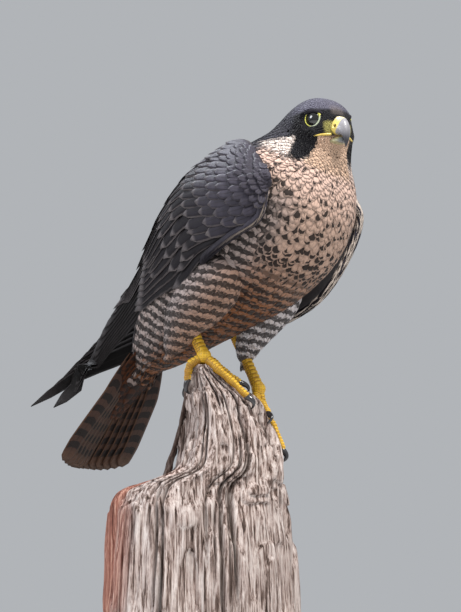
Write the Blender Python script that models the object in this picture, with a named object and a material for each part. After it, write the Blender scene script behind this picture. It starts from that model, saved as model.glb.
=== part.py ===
"""A life-size perched peregrine falcon on the broken top of a snag, held on a plain display stand.

Sizes are in millimetres and are scaled to metres as each mesh is made. The bird faces +X and its
left is +Y. The origin is the middle of the underside of the stand's base, +Z is up. Places on the
bird and on the wood are measured from DATUM, a point in the middle of the bird's belly.
"""

import math

import bpy
import numpy as np
from mathutils.bvhtree import BVHTree

MM = 0.001
GAP = 0.3
DATUM = np.array([22.0, 14.0, 338.0])

for old in list(bpy.data.objects):
    bpy.data.objects.remove(old, do_unlink=True)


# Plain tools for meshes

def material(name, colour, roughness, metallic=0.0):
    made = bpy.data.materials.new(name)
    made.use_nodes = True
    shader = made.node_tree.nodes["Principled BSDF"]
    shader.inputs["Base Color"].default_value = (*colour, 1.0)
    shader.inputs["Roughness"].default_value = roughness
    shader.inputs["Metallic"].default_value = metallic
    made.diffuse_color = (*colour, 1.0)
    return made


def through(knots, places):
    """A smooth curve through evenly numbered knots, read at places from 0 to len(knots) - 1."""
    knots = np.asarray(knots, float)
    ends = np.vstack([2 * knots[0] - knots[1], knots, 2 * knots[-1] - knots[-2]])
    slope = (ends[2:] - ends[:-2]) / 2
    places = np.clip(np.asarray(places, float), 0, len(knots) - 1)
    low = np.minimum(places.astype(int), len(knots) - 2)
    t = (places - low)[..., None]
    a, b, ma, mb = knots[low], knots[low + 1], slope[low], slope[low + 1]
    return (
        (2 * t**3 - 3 * t**2 + 1) * a
        + (t**3 - 2 * t**2 + t) * ma
        + (3 * t**2 - 2 * t**3) * b
        + (t**3 - t**2) * mb
    )


def unit(v):
    v = np.asarray(v, float)
    return v / np.maximum(np.linalg.norm(v, axis=-1, keepdims=True), 1e-12)


def signed_volume(points, faces):
    corner = points[np.asarray(faces)]
    return np.einsum("ij,ij->i", corner[:, 0], np.cross(corner[:, 1], corner[:, 2])).sum()


def make(name, points, faces, finish, shift=DATUM, smooth=40):
    """A mesh object from triangles in millimetres, turned outwards if it came inside out."""
    points = np.asarray(points, float)
    faces = [tuple(int(i) for i in f) for f in faces]
    if signed_volume(points, faces) < 0:
        faces = [f[::-1] for f in faces]
    mesh = bpy.data.meshes.new(name)
    mesh.from_pydata([tuple(p) for p in (points + shift) * MM], [], faces)
    mesh.materials.append(finish)
    mesh.update()
    obj = bpy.data.objects.new(name, mesh)
    bpy.context.scene.collection.objects.link(obj)
    shade(obj, smooth)
    return obj


def shade(obj, angle=40):
    obj.data.shade_smooth()
    obj.data.set_sharp_from_angle(angle=math.radians(angle))


def skin_of(rings, thin=False):
    """Points and triangles of a closed loft: rings is (rings, sides, 3), with a fan at each end.

    On a thin loft the second half of the sides lies against the first: it is split alike, and each
    end is closed by a strip from one half to the other.
    """
    rings = np.asarray(rings, float)
    count, sides = rings.shape[:2]
    points = np.vstack([rings.reshape(-1, 3), rings[0].mean(0), rings[-1].mean(0)])
    faces = []
    for i in range(count - 1):
        for j in range(sides):
            k = (j + 1) % sides
            a, b = i * sides + j, i * sides + k
            c, d = a + sides, b + sides
            if thin and j >= sides // 2:
                faces += [(a, b, c), (b, d, c)]
            else:
                faces += [(a, b, d), (a, d, c)]
    if thin:
        start = (count - 1) * sides
        for j in range(sides // 2):
            low, high, over, under = j, j + 1, sides - j - 1, (sides - j) % sides
            for a, b, c in ((low, high, over), (low, over, under)):
                if len({a, b, c}) == 3:
                    faces += [(c, b, a), (start + a, start + b, start + c)]
        return points[:-2], faces
    first, last = count * sides, count * sides + 1
    for j in range(sides):
        k = (j + 1) % sides
        faces.append((first, k, j))
        faces.append((last, (count - 1) * sides + j, (count - 1) * sides + k))
    return points, faces


def tube_rings(path, radii, sides, flat=1.0, up=(0, 0, 1)):
    """Rings round a path. radii is one number a point, and flat squeezes them along the up side."""
    path = np.asarray(path, float)
    along = unit(np.gradient(path, axis=0))
    side = unit(np.cross(along, np.asarray(up, float)))
    top = np.cross(side, along)
    turn = np.linspace(0, 2 * math.pi, sides, endpoint=False)
    radii = np.asarray(radii, float)[:, None, None]
    return path[:, None] + radii * (
        np.cos(turn)[None, :, None] * side[:, None]
        + flat * np.sin(turn)[None, :, None] * top[:, None]
    )


def join(base, pieces, solver="EXACT"):
    """One Boolean of base with a collection of closed meshes, applied, with those meshes removed."""
    group = bpy.data.collections.new(base.name + "_pieces")
    for piece in pieces:
        group.objects.link(piece)
    step = base.modifiers.new("join", "BOOLEAN")
    step.operation = "UNION"
    step.operand_type = "COLLECTION"
    step.collection = group
    step.solver = solver
    apply_modifiers(base)
    for piece in pieces:
        bpy.data.objects.remove(piece, do_unlink=True)
    bpy.data.collections.remove(group)
    keep_largest(base)
    return base


def cut(base, cutters, solver="EXACT"):
    """Takes cutters out of base one at a time, and keeps base's largest closed surface."""
    for cutter in cutters:
        step = base.modifiers.new("cut", "BOOLEAN")
        step.operation = "DIFFERENCE"
        step.object = cutter
        step.solver = solver
        apply_modifiers(base)
    keep_largest(base)
    return base


def apply_modifiers(obj):
    bpy.context.view_layer.update()
    graph = bpy.context.evaluated_depsgraph_get()
    made = bpy.data.meshes.new_from_object(obj.evaluated_get(graph))
    obj.modifiers.clear()
    obj.data = made


def keep_largest(obj):
    """Leaves only the closed surface of most volume, so that no loose scrap or sealed hollow stays."""
    mesh = obj.data
    mesh.calc_loop_triangles()
    points = np.array([v.co for v in mesh.vertices])
    faces = np.array([t.vertices for t in mesh.loop_triangles])
    edges = np.sort(faces[:, [0, 1, 1, 2, 2, 0]].reshape(-1, 2), axis=1)
    _, edge, uses = np.unique(edges, axis=0, return_inverse=True, return_counts=True)
    by_edge = np.argsort(edge.reshape(-1), kind="stable")
    pairs = by_edge[np.repeat(uses == 2, uses)].reshape(-1, 2) // 3
    label = np.arange(len(faces))
    changed = True
    while changed:
        before = label.copy()
        least = label[pairs].min(axis=1)
        for end in range(2):
            np.minimum.at(label, pairs[:, end], least)
        label = label[label]
        changed = bool((label != before).any())
    sizes = {k: signed_volume(points, faces[label == k]) for k in np.unique(label)}
    best = max(sizes, key=lambda k: sizes[k])
    kept = faces[label == best]
    used, index = np.unique(kept.reshape(-1), return_inverse=True)
    clean = bpy.data.meshes.new(mesh.name)
    clean.from_pydata([tuple(p) for p in points[used]], [], [tuple(f) for f in index.reshape(-1, 3).tolist()])
    for finish in mesh.materials:
        clean.materials.append(finish)
    clean.update()
    obj.data = clean
    shade(obj)


# Finishes, with the colours of the picture

SLATE = material("slate_feather", (0.045, 0.045, 0.055), 0.6)
CREAM = material("cream_feather", (0.55, 0.42, 0.31), 0.75)
HOOD = material("hood_feather", (0.05, 0.05, 0.065), 0.6)
TAIL_BROWN = material("tail_feather", (0.06, 0.042, 0.035), 0.6)
HORN = material("bill_horn", (0.11, 0.12, 0.15), 0.3)
YELLOW = material("yellow_skin", (0.85, 0.55, 0.03), 0.45)
EYE = material("dark_eye", (0.01, 0.008, 0.007), 0.05)
CLAW = material("black_claw", (0.02, 0.02, 0.022), 0.25)
WOOD = material("weathered_wood", (0.33, 0.28, 0.25), 0.85)
STAND = material("stand_black", (0.03, 0.03, 0.032), 0.4)
STEEL = material("stand_steel", (0.5, 0.5, 0.5), 0.3, 1.0)


# The trunk of the bird: pairs of points on the back and on the breast, with the half-width between

HEAD_AT = np.array([98.6, 0.0, 152.8])
HEAD_TURN = -25.0
# back x, back z, breast x, breast z, half-width, turn of the section in degrees
SECTIONS = np.array([
    (-101, -42, -86, -54, 17, 0),
    (-95, -12, -60, -48, 30, 0),
    (-76, 30, -26, -34, 44, 0),
    (-52, 65, 12, -20, 55, 0),
    (-26, 94, 56, -2, 60, 0),
    (-4, 115, 94, 26, 62, 0),
    (14, 129, 114, 58, 60, 0),
    (26, 140, 119.5, 83, 52, -2),
    (36, 147.5, 118, 100, 43, -7),
    (45, 154.5, 116, 110, 35.5, -13),
    (54, 163.5, 115, 117.5, 32, -20),
    (65, 171.5, 114.5, 122.5, 30, -25),
    (79, 176, 115, 126, 28, -25),
    (93, 177, 115.5, 128.5, 26.5, -25),
    (103, 174.5, 116.5, 130, 23.5, -25),
    (111, 169.5, 117.5, 131.5, 19.5, -25),
    (116.5, 163, 118.5, 133, 15, -25),
    (120, 156, 119.5, 134.5, 10.5, -25),
])
NECK_FROM, HEAD_FROM, FACE_END = 7.5, 10.5, len(SECTIONS) - 1.0
BODY_SIDES = 24
TORSO_RINGS, NECK_RINGS, HEAD_RINGS = 13, 5, 12
SQUARENESS = 2.2


def body_ring(place, grow=0.0):
    """The closed section of the body at a place along SECTIONS, larger by grow all round."""
    back_x, back_z, breast_x, breast_z, half, turn = through(SECTIONS, [place])[0]
    middle = np.array([(back_x + breast_x) / 2, 0, (back_z + breast_z) / 2])
    chord = np.array([breast_x - back_x, 0, breast_z - back_z]) / 2
    reach = np.linalg.norm(chord) + grow
    angle = np.linspace(0, 2 * math.pi, BODY_SIDES, endpoint=False)
    power = 2 / SQUARENESS
    down = -np.sign(np.cos(angle)) * np.abs(np.cos(angle)) ** power
    out = -np.sign(np.sin(angle)) * np.abs(np.sin(angle)) ** power
    ring = middle + np.outer(down * reach, unit(chord))
    ring[:, 1] += out * (half + grow)
    return turned(ring, turn)


def turned(points, degrees):
    """Points turned about the upright line through the head's middle."""
    c, s = math.cos(math.radians(degrees)), math.sin(math.radians(degrees))
    x, y = points[..., 0] - HEAD_AT[0], points[..., 1] - HEAD_AT[1]
    out = np.array(points, float)
    out[..., 0] = HEAD_AT[0] + c * x - s * y
    out[..., 1] = HEAD_AT[1] + s * x + c * y
    return out


def ring_normal(ring):
    return unit(np.cross(ring[len(ring) // 4] - ring[0], ring[len(ring) // 2] - ring[0]))


def body_rings(first, last, count, grow=0.0):
    return np.array([body_ring(place, grow) for place in np.linspace(first, last, count)])


def body_piece(name, first, last, count, finish):
    """The body between two places, with its rear end GAP clear of the piece behind it."""
    rings = body_rings(first, last, count)
    if first > 0:
        forward = rings[1].mean(0) - rings[0].mean(0)
        normal = ring_normal(rings[0])
        rings[0] += GAP * normal * np.sign(normal @ forward)
    return make(name, *skin_of(rings), finish)


torso = body_piece("torso", 0, NECK_FROM, TORSO_RINGS, CREAM)
neck = body_piece("neck", NECK_FROM, HEAD_FROM, NECK_RINGS, CREAM)
head = body_piece("head", HEAD_FROM, FACE_END, HEAD_RINGS, HOOD)


# The head's own frame: forward, right and up from the middle between the eyes

FORWARD = np.array([math.cos(math.radians(HEAD_TURN)), math.sin(math.radians(HEAD_TURN)), 0.0])
RIGHT = np.array([FORWARD[1], -FORWARD[0], 0.0])
UP = np.array([0.0, 0.0, 1.0])


def on_head(forward, right, up):
    return (
        HEAD_AT
        + np.multiply.outer(np.asarray(forward, float), FORWARD)
        + np.multiply.outer(np.asarray(right, float), RIGHT)
        + np.multiply.outer(np.asarray(up, float), UP)
    )


# Eyes: a ball in a socket, with a raised ring of bare skin round the opening

EYE_FORWARD, EYE_OUT, EYE_UP = 6.8, 14.0, 0.0
EYE_RADIUS = 8.4
OPENING_RADIUS = 6.5
ORBIT_RADII, ORBIT_REACH = (7.5, 13.5), (6.2, 13.0)
RING_RADIUS, RING_THICK, RING_OUT = 7.4, 1.4, 6.6
EYE_AHEAD = 27.0


def ball(name, middle, radius, finish, rows=7, sides=12):
    turns = np.linspace(0.12, math.pi - 0.12, rows)
    round_turn = np.linspace(0, 2 * math.pi, sides, endpoint=False)
    rings = np.array([
        middle
        + radius * np.stack([
            np.sin(t) * np.cos(round_turn),
            np.sin(t) * np.sin(round_turn),
            np.full(sides, np.cos(t)),
        ], axis=1)
        for t in turns
    ])
    return make(name, *skin_of(rings), finish)


def hoop(name, middle, axis, radius, thick, finish, sides=12, around=4):
    """A ring of round section about an axis."""
    axis = unit(axis)
    across = unit(np.cross(axis, UP))
    other = np.cross(axis, across)
    points, faces = [], []
    for i in range(sides):
        a = 2 * math.pi * i / sides
        out = math.cos(a) * across + math.sin(a) * other
        for j in range(around):
            b = 2 * math.pi * j / around
            points.append(middle + out * (radius + thick * math.cos(b)) + axis * thick * math.sin(b))
    for i in range(sides):
        for j in range(around):
            a, b = i * around + j, i * around + (j + 1) % around
            c, d = (a + around) % (sides * around), (b + around) % (sides * around)
            faces += [(a, b, d), (a, d, c)]
    return make(name, points, faces, finish)


hoops, orbits, sockets = [], [], []
for side, word in ((1, "right"), (-1, "left")):
    middle = on_head(EYE_FORWARD, side * EYE_OUT, EYE_UP)
    ahead = math.radians(EYE_AHEAD)
    look = unit(math.sin(ahead) * FORWARD + side * math.cos(ahead) * RIGHT)
    ball(f"eye_{word}", middle, EYE_RADIUS, EYE)
    sockets.append(ball(f"socket_{word}", middle, EYE_RADIUS + GAP, HOOD))
    path = np.array([middle + look * d for d in (2.0, 8.0, 16.0)])
    sockets.append(make(f"opening_{word}", *skin_of(tube_rings(path, [OPENING_RADIUS] * 3, 12)), HOOD))
    path = np.array([middle + look * d for d in (ORBIT_REACH[0], sum(ORBIT_REACH) / 2, ORBIT_REACH[1])])
    radii = (ORBIT_RADII[0], sum(ORBIT_RADII) / 2, ORBIT_RADII[1])
    orbits.append(make(f"orbit_{word}", *skin_of(tube_rings(path, radii, 12)), HOOD))
    hoops.append(hoop(f"lid_{word}", middle + look * RING_OUT, look, RING_RADIUS, RING_THICK, YELLOW))
cut(head, orbits)
join(head, hoops)
cut(head, sockets)
for helper in orbits + sockets:
    bpy.data.objects.remove(helper, do_unlink=True)


# Bill: the hooked upper half with its cere, and the lower half under it

BILL_SIDES = 12
# culmen forward, culmen up, edge forward, edge up, half-width
UPPER_BILL = np.array([
    (20.5, 2.0, 17.0, -15.0, 10.5),
    (25.6, 0.5, 22.0, -15.6, 9.8),
    (30.0, -2.0, 25.5, -16.2, 8.8),
    (33.2, -7.0, 28.5, -17.0, 7.2),
    (34.6, -14.0, 30.0, -18.2, 5.5),
    (34.4, -20.0, 30.8, -20.2, 3.9),
    (33.2, -25.0, 31.2, -23.8, 2.1),
    (31.6, -28.0, 31.0, -27.2, 0.6),
])
LOWER_BILL = np.array([
    (19.0, -15.8, 17.0, -22.4, 9.2),
    (23.0, -16.8, 21.5, -23.2, 8.0),
    (26.5, -18.0, 25.5, -23.2, 6.0),
    (28.8, -19.8, 28.0, -22.6, 3.2),
])


def bill_piece(name, table, count, finish, edge_flat):
    """A half of the bill: sections from ridge to cutting edge, flatter at the edge than at the ridge."""
    rings = []
    angle = np.linspace(0, 2 * math.pi, BILL_SIDES, endpoint=False)
    for top_f, top_u, low_f, low_u, half in through(table, np.linspace(0, len(table) - 1, count)):
        down = (1 - np.cos(angle)) / 2
        wide = np.abs(np.sin(angle)) ** edge_flat * np.sign(np.sin(angle))
        wide = wide * (0.5 + 0.5 * down)
        rings.append(on_head(
            top_f + (low_f - top_f) * down,
            half * wide,
            top_u + (low_u - top_u) * down,
        ))
    return make(name, *skin_of(rings), finish, smooth=60)


bill_upper = bill_piece("bill_upper", UPPER_BILL, 13, HORN, 0.8)
bill_lower = bill_piece("bill_lower", LOWER_BILL, 6, HORN, 0.8)
NOSTRIL_AT, NOSTRIL_RADIUS = (25.4, 7.4, -8.8), 1.4
holes = []
for side, word in ((1, "right"), (-1, "left")):
    forward, out, up = NOSTRIL_AT
    ends = [on_head(forward, side * d, up) for d in (out - 2.6, out, out + 5.0)]
    holes.append(make(f"nostril_{word}", *skin_of(tube_rings(ends, [NOSTRIL_RADIUS] * 3, 8)), HORN))
cut(bill_upper, holes)
for helper in holes:
    bpy.data.objects.remove(helper, do_unlink=True)
face_rings = body_rings(HEAD_FROM, FACE_END, HEAD_RINGS, GAP)
face_rings[-1] += GAP * FORWARD
face_room = make("face_room", *skin_of(face_rings), HOOD)
cut(bill_upper, [face_room])
cut(bill_lower, [face_room])
bpy.data.objects.remove(face_room, do_unlink=True)


# Thighs: the feathered trousers, which leave the flank and end at the ankle

THIGH_RINGS, THIGH_SIDES = 11, 14
# x, y, z and radius down each trouser
THIGHS = {
    "right": np.array([
        (34, -38, 34, 20), (14, -43, 14, 25), (-6, -43, -4, 24), (-22, -39, -16, 19),
        (-32, -35, -28, 14), (-40, -33, -39, 9), (-43, -33, -45, 4),
    ]),
    "left": np.array([
        (36, 38, 34, 20), (22, 40, 12, 24), (12, 38, -4, 21), (5, 34, -18, 17),
        (0, 31, -30, 13), (-3, 30, -41, 9), (-4, 30, -48, 4),
    ]),
}


def thigh_mesh(name, table, grow=0.0):
    rows = through(table, np.linspace(0, len(table) - 1, THIGH_RINGS))
    rings = tube_rings(rows[:, :3], rows[:, 3] + grow, THIGH_SIDES, up=(0, 1, 0))
    if grow:
        rings[-1] += grow * unit(rows[-1, :3] - rows[-2, :3])
    return make(name, *skin_of(rings), CREAM)


def torso_room():
    """The torso grown by the gap that touching pieces keep."""
    rings = body_rings(0, NECK_FROM, TORSO_RINGS, GAP)
    rings[0] -= GAP * unit(rings[1].mean(0) - rings[0].mean(0))
    rings[-1] += GAP * unit(rings[-1].mean(0) - rings[-2].mean(0))
    return make("torso_room", *skin_of(rings), CREAM)


room = torso_room()
thigh_rooms = {}
for word, table in THIGHS.items():
    cut(thigh_mesh(f"thigh_{word}", table), [room])
    thigh_rooms[word] = thigh_mesh(f"thigh_room_{word}", table, GAP)


# The snag: rings of a weathered trunk. Its sides run with the view, u across it and w towards it

ACROSS = np.array([math.cos(math.radians(33)), math.sin(math.radians(33)), 0.0])
TOWARDS = np.array([ACROSS[1], -ACROSS[0], 0.0])
TRUNK_AXIS = np.array([-22.0, -14.0, 0.0])
BASE_TOP, ROD_LENGTH = 16.0, 29.0
PERCH_UNDER = BASE_TOP + ROD_LENGTH - DATUM[2]
# height, middle u, middle w, half-width u, half-depth w
TRUNK = np.array([
    (PERCH_UNDER, 0, 0, 84, 64),
    (-269, 0, 0, 83.5, 64),
    (-225, 0, 0, 80.5, 62),
    (-190, -1, -1, 77.5, 60),
    (-173, -1, -2, 75.5, 57),
    (-161, 4, -3, 68, 54),
    (-147, 21, -4, 50, 50),
    (-124, 24, -5, 44.5, 44),
    (-102, 21.5, -4, 37, 38),
    (-86, 18, -1, 32.5, 32),
    (-75, 11.5, 4, 25, 24),
    (-64, 4.5, 10, 15.5, 16),
    (-56, 1.5, 15, 8, 9),
])
TRUNK_SIDES, TRUNK_RINGS = 26, 17
# number of ribs round the trunk, their share of its radius, and where they start
SPLINTERS = ((3, 0.035, 0.4), (5, 0.03, 1.9), (8, 0.022, 3.1), (11, 0.014, 5.0))
SPLINTER_DRIFT = 0.016


def trunk_mesh():
    """Rings whose outline is an ellipse with ribs round it, which drift as they climb."""
    rows = through(TRUNK, np.linspace(0, len(TRUNK) - 1, TRUNK_RINGS))
    turn = np.linspace(0, 2 * math.pi, TRUNK_SIDES, endpoint=False)
    rings = []
    for i, (height, u, w, half_u, half_w) in enumerate(rows):
        ribs = sum(size * np.cos(n * turn + phase + SPLINTER_DRIFT * n * i) for n, size, phase in SPLINTERS)
        ring = (
            TRUNK_AXIS
            + np.outer(u + half_u * (1 + ribs) * np.cos(turn), ACROSS)
            + np.outer(w + half_w * (1 + ribs) * np.sin(turn), TOWARDS)
        )
        ring[:, 2] = height
        rings.append(ring)
    return make("perch_trunk", *skin_of(np.array(rings)), WOOD, smooth=30)


trunk = trunk_mesh()


# Feet: a pad with four toes that lie on the wood, each ending in a claw

TOE_RADIUS, TOE_POINTS, TOE_SIDES = 3.6, 7, 8
PAD_RADIUS = 6.2
FEET = {
    "right": {
        "joint": (-9.6, -28, -47.7),
        "toes": {
            "middle": [(3.5, -26, -59), (17, -19, -71), (26, -14, -83)],
            "outer": [(-16.5, -34, -51), (-23, -38, -62), (-23, -40, -68)],
            "inner": [(-6, -18, -56), (-3, -9, -68), (2, -4, -80)],
            "rear": [(-17, -22, -54), (-26, -16, -62), (-30, -13, -72)],
        },
    },
    "left": {
        "joint": (10.5, 30, -72),
        "toes": {
            "middle": [(17, 31, -92), (24, 32, -108), (34, 34, -126)],
            "outer": [(20, 35, -89), (28, 40, -101), (28, 43, -113)],
            "inner": [(10, 23, -84), (14, 17, -93), (19, 14, -100)],
            "rear": [(2, 36, -82), (-5, 40, -92), (-8, 40, -104)],
        },
    },
}
CLAW_LENGTH, CLAW_RADIUS, CLAW_TIP, CLAW_POINTS = 15.0, 2.5, 0.35, 6
ANKLES = {"right": (-20, -28.5, -27), "left": (-6, 28.5, -36)}
TARSUS_RADIUS, TARSUS_SIDES = 5.0, 10

def build_tree(obj):
    mesh = obj.data
    mesh.calc_loop_triangles()
    return BVHTree.FromPolygons(
        [v.co.copy() for v in mesh.vertices],
        [tuple(t.vertices) for t in mesh.loop_triangles],
    )


def on_wood(point, lift):
    """The place nearest to a point that is lift above the wood, and the wood's normal there."""
    found, normal, _, _ = wood_tree.find_nearest([float(c) for c in (np.asarray(point) + DATUM) * MM])
    spot = np.array(found) / MM - DATUM
    return spot + np.array(normal) * lift, np.array(normal)


def toe_path(joint, points):
    """A toe's middle line: from the pad over the knuckles, each laid on the wood."""
    laid = [np.array(joint, float)]
    for point in points:
        laid.append(on_wood(point, TOE_RADIUS)[0])
    return through(laid, np.linspace(0, len(laid) - 1, TOE_POINTS))


def toe_radii(count, grow):
    along = np.linspace(0, 1, count)
    knuckles = 0.35 * np.cos(along * 2 * math.pi * 3.2) * (1 - 0.3 * along)
    return TOE_RADIUS + 0.9 * (1 - along) ** 2 + knuckles - 0.7 * along + grow


def toe_mesh(name, path, grow=0.0):
    radii = toe_radii(len(path), grow)
    rings = tube_rings(path, radii, TOE_SIDES, up=(0.2, 0.4, 1))
    start = path[0] - unit(path[1] - path[0]) * radii[0] * 0.5
    end = path[-1] + unit(path[-1] - path[-2]) * (radii[-1] * 0.62)
    first = start + (rings[0] - path[0]) * 0.6
    last = end + (rings[-1] - path[-1]) * 0.62
    return make(name, *skin_of(np.concatenate([[first], rings, [last]])), YELLOW, smooth=60)


def claw_path(path, step):
    """A claw's middle line: on past the toe, arched off the wood and down to it at the tip."""
    ahead = unit(path[-1] - path[-2])
    start = path[-1] + ahead * (TOE_RADIUS * 0.62 + GAP + step)
    tip = on_wood(start + ahead * CLAW_LENGTH * 0.7, CLAW_TIP + GAP)[0]
    normal = on_wood(start, 0)[1]
    bend = start + ahead * CLAW_LENGTH * 0.55 + normal * CLAW_LENGTH * 0.22
    t = np.linspace(0, 1, CLAW_POINTS)[:, None]
    return (1 - t) ** 2 * start + 2 * t * (1 - t) * bend + t**2 * tip


def claw_mesh(name, path, grow=0.0):
    t = np.linspace(0, 1, len(path))
    radii = CLAW_TIP + (CLAW_RADIUS - CLAW_TIP) * (1 - t) ** 0.7 + grow
    rings = tube_rings(path, radii, TOE_SIDES, flat=1.15, up=(0.2, 0.4, 1))
    if grow:
        rings[-1] += grow * unit(path[-1] - path[-2])
    return make(name, *skin_of(rings), CLAW, smooth=60)


def foot_pieces(joint, paths, grow, suffix):
    """The pad under the joint and the four toes, larger by grow all round."""
    toes = [toe_mesh(f"{toe}{suffix}", path, grow) for toe, path in paths.items()]
    return [ball(f"pad{suffix}", joint, PAD_RADIUS + grow, YELLOW, 6, 12)] + toes


wood_tree = build_tree(trunk)
for word, foot in FEET.items():
    joint = np.array(foot["joint"], float)
    paths = {toe: toe_path(joint, points) for toe, points in foot["toes"].items()}

    rooms = foot_pieces(joint, paths, GAP, "_room")
    body, *toes = foot_pieces(joint, paths, 0.0, f"_{word}")
    body.name = f"foot_{word}"
    join(body, toes)
    shade(body, 60)
    ankle = np.array(ANKLES[word], float)
    t = np.linspace(0, 1, 6)
    start = ankle + (ankle - joint) * 0.25
    radii = TARSUS_RADIUS + 0.5 * (2 * t - 1) ** 2
    shank_rings = tube_rings(start + np.outer(t, joint - start), radii, TARSUS_SIDES)
    shank = make(f"tarsus_{word}", *skin_of(shank_rings), YELLOW, smooth=60)
    cut(shank, [thigh_rooms[word], room] + rooms)
    for toe, path in paths.items():
        claw = claw_mesh(f"claw_{word}_{toe}", claw_path(path, 0.0))
        claw_room = claw_mesh("claw_room", claw_path(path, 0.0), GAP)
        cut(claw, rooms)
        cut(trunk, [claw_room])
        bpy.data.objects.remove(claw_room, do_unlink=True)
    cut(trunk, rooms)
    for helper in rooms:
        bpy.data.objects.remove(helper, do_unlink=True)


# Tail: a flat core under the coverts, with the tail feathers fanned over and beyond it

TAIL_ROOT = np.array([-88.0, -1.0, -36.0])
TAIL_TIP = np.array([-158.0, -7.0, -138.0])
TAIL_THICK = 9.0
TAIL_ALONG = unit(TAIL_TIP - TAIL_ROOT)
TAIL_LONG = float(np.linalg.norm(TAIL_TIP - TAIL_ROOT))
TAIL_ACROSS = unit([0.08, 1.0, 0.0])
TAIL_UP = unit(np.cross(TAIL_ALONG, TAIL_ACROSS))
TAIL_UP = TAIL_UP * np.sign(TAIL_UP[2] - TAIL_UP[0])


def tail_core(reach):
    """A lens-shaped bar, as long as reach times the tail, that narrows in thickness towards its end."""
    turn = np.linspace(0, 2 * math.pi, 16, endpoint=False)
    rings = []
    for t in np.linspace(0, 1, 5):
        middle = TAIL_ROOT + TAIL_ALONG * TAIL_LONG * reach * t
        half = 20 + 13 * t
        thick = TAIL_THICK * (1 - 0.6 * t)
        rings.append(
            middle
            + np.outer(np.cos(turn) * half, TAIL_ACROSS)
            + np.outer(np.sin(turn) * thick / 2, TAIL_UP)
        )
    return make("tail", *skin_of(np.array(rings), thin=True), TAIL_BROWN)


def vane(name, path, up, half_widths, thick, roll, finish, hollow=0.004):
    """A feather: a thin closed blade of four-cornered sections along a path, rolled and cupped.

    At a distance y from the shaft the blade lies roll * y - hollow * y * y along its up side.
    """
    path = np.asarray(path, float)
    along = unit(np.gradient(path, axis=0))
    side = unit(np.cross(np.asarray(up, float), along))
    top = np.cross(along, side)
    rings = []
    for place, s_dir, t_dir, half in zip(path, side, top, half_widths):
        lift = [roll * y - hollow * y * y for y in (half, -half)]
        rings.append([
            place + s_dir * half + t_dir * lift[0],
            place + t_dir * thick / 2,
            place - s_dir * half + t_dir * lift[1],
            place - t_dir * thick / 2,
        ])
    return make(name, *skin_of(np.array(rings), thin=True), finish)


def blade(count, half, root, tip_round):
    """Half-widths down a feather: root at the quill, full by two fifths, then rounded in to the tip."""
    t = np.linspace(0, 1, count)
    swell = root + (1 - root) * np.sin(np.minimum(t / 0.4, 1) * math.pi / 2)
    inward = np.clip((t - (1 - tip_round)) / tip_round, 0, 1)
    return half * swell * np.sqrt(np.maximum(1 - inward**2, 0.02))


TAIL_FEATHERS, TAIL_TIER = 12, 1.5
TAIL_ROOT_STEP, TAIL_TIP_STEP = 3.2, 6.9
TAIL_FEATHER_HALF, TAIL_FEATHER_THICK = 9.5, 1.2


def tail_feathers():
    """Feathers fanned from the root, the middle pair on top and each outer one lower and shorter."""
    made = []
    for i in range(TAIL_FEATHERS):
        step = i - (TAIL_FEATHERS - 1) / 2
        away = abs(step) / ((TAIL_FEATHERS - 1) / 2)
        t = np.array([0.04, 0.4, 0.88, 1.0]) * (1 - 0.075 * away**2.2)
        across = (TAIL_ROOT_STEP + (TAIL_TIP_STEP - TAIL_ROOT_STEP) * np.minimum(t / 0.75, 1) ** 0.8) * step
        lower = -TAIL_TIER * abs(step) * np.minimum(1, t / 0.35) + 2.0 * (1 - t)
        path = (
            TAIL_ROOT
            + np.outer(t * TAIL_LONG, TAIL_ALONG)
            + np.outer(across, TAIL_ACROSS)
            + np.outer(lower, TAIL_UP)
        )
        halves = TAIL_FEATHER_HALF * np.array([0.6, 0.95, 0.9, 0.3])
        made.append(vane(f"rectrix_{i}", path, [TAIL_UP] * 4, halves, TAIL_FEATHER_THICK, 0.0, TAIL_BROWN, 0.0))
    return made


COVERT_ROWS = (
    # how far along the tail the row ends, number, spread across, height over the core, above or below
    (0.50, 4, 30.0, 6.5, -1),
    (0.33, 2, 14.0, 8.0, -1),
    (0.40, 3, 26.0, 5.5, 1),
)


def tail_coverts():
    made = []
    for reach, count, spread, height, face in COVERT_ROWS:
        for i in range(count):
            place = i / (count - 1) - 0.5
            t = np.linspace(0.0, reach * (1 - 0.25 * abs(place) * 2), 4)
            away = face * (height * np.cos(place * 2) - (height - 3.0) * t / reach)
            across = spread * place * (0.7 + 0.6 * t / reach) * 1.3
            path = (
                TAIL_ROOT
                + np.outer(t * TAIL_LONG, TAIL_ALONG)
                + np.outer(across, TAIL_ACROSS)
                + np.outer(away, TAIL_UP)
            )
            name = f"covert_{face}_{count}_{i}"
            made.append(vane(name, path, [TAIL_UP * face] * 4, blade(4, 10.0, 0.6, 0.45), 1.8, 0.0, TAIL_BROWN))
    return made


tail = tail_core(0.45)
join(tail, tail_feathers() + tail_coverts())
cut(tail, [room])


# Wings: each folded wing is a surface led by three lines, the leading edge, the middle and the back

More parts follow.
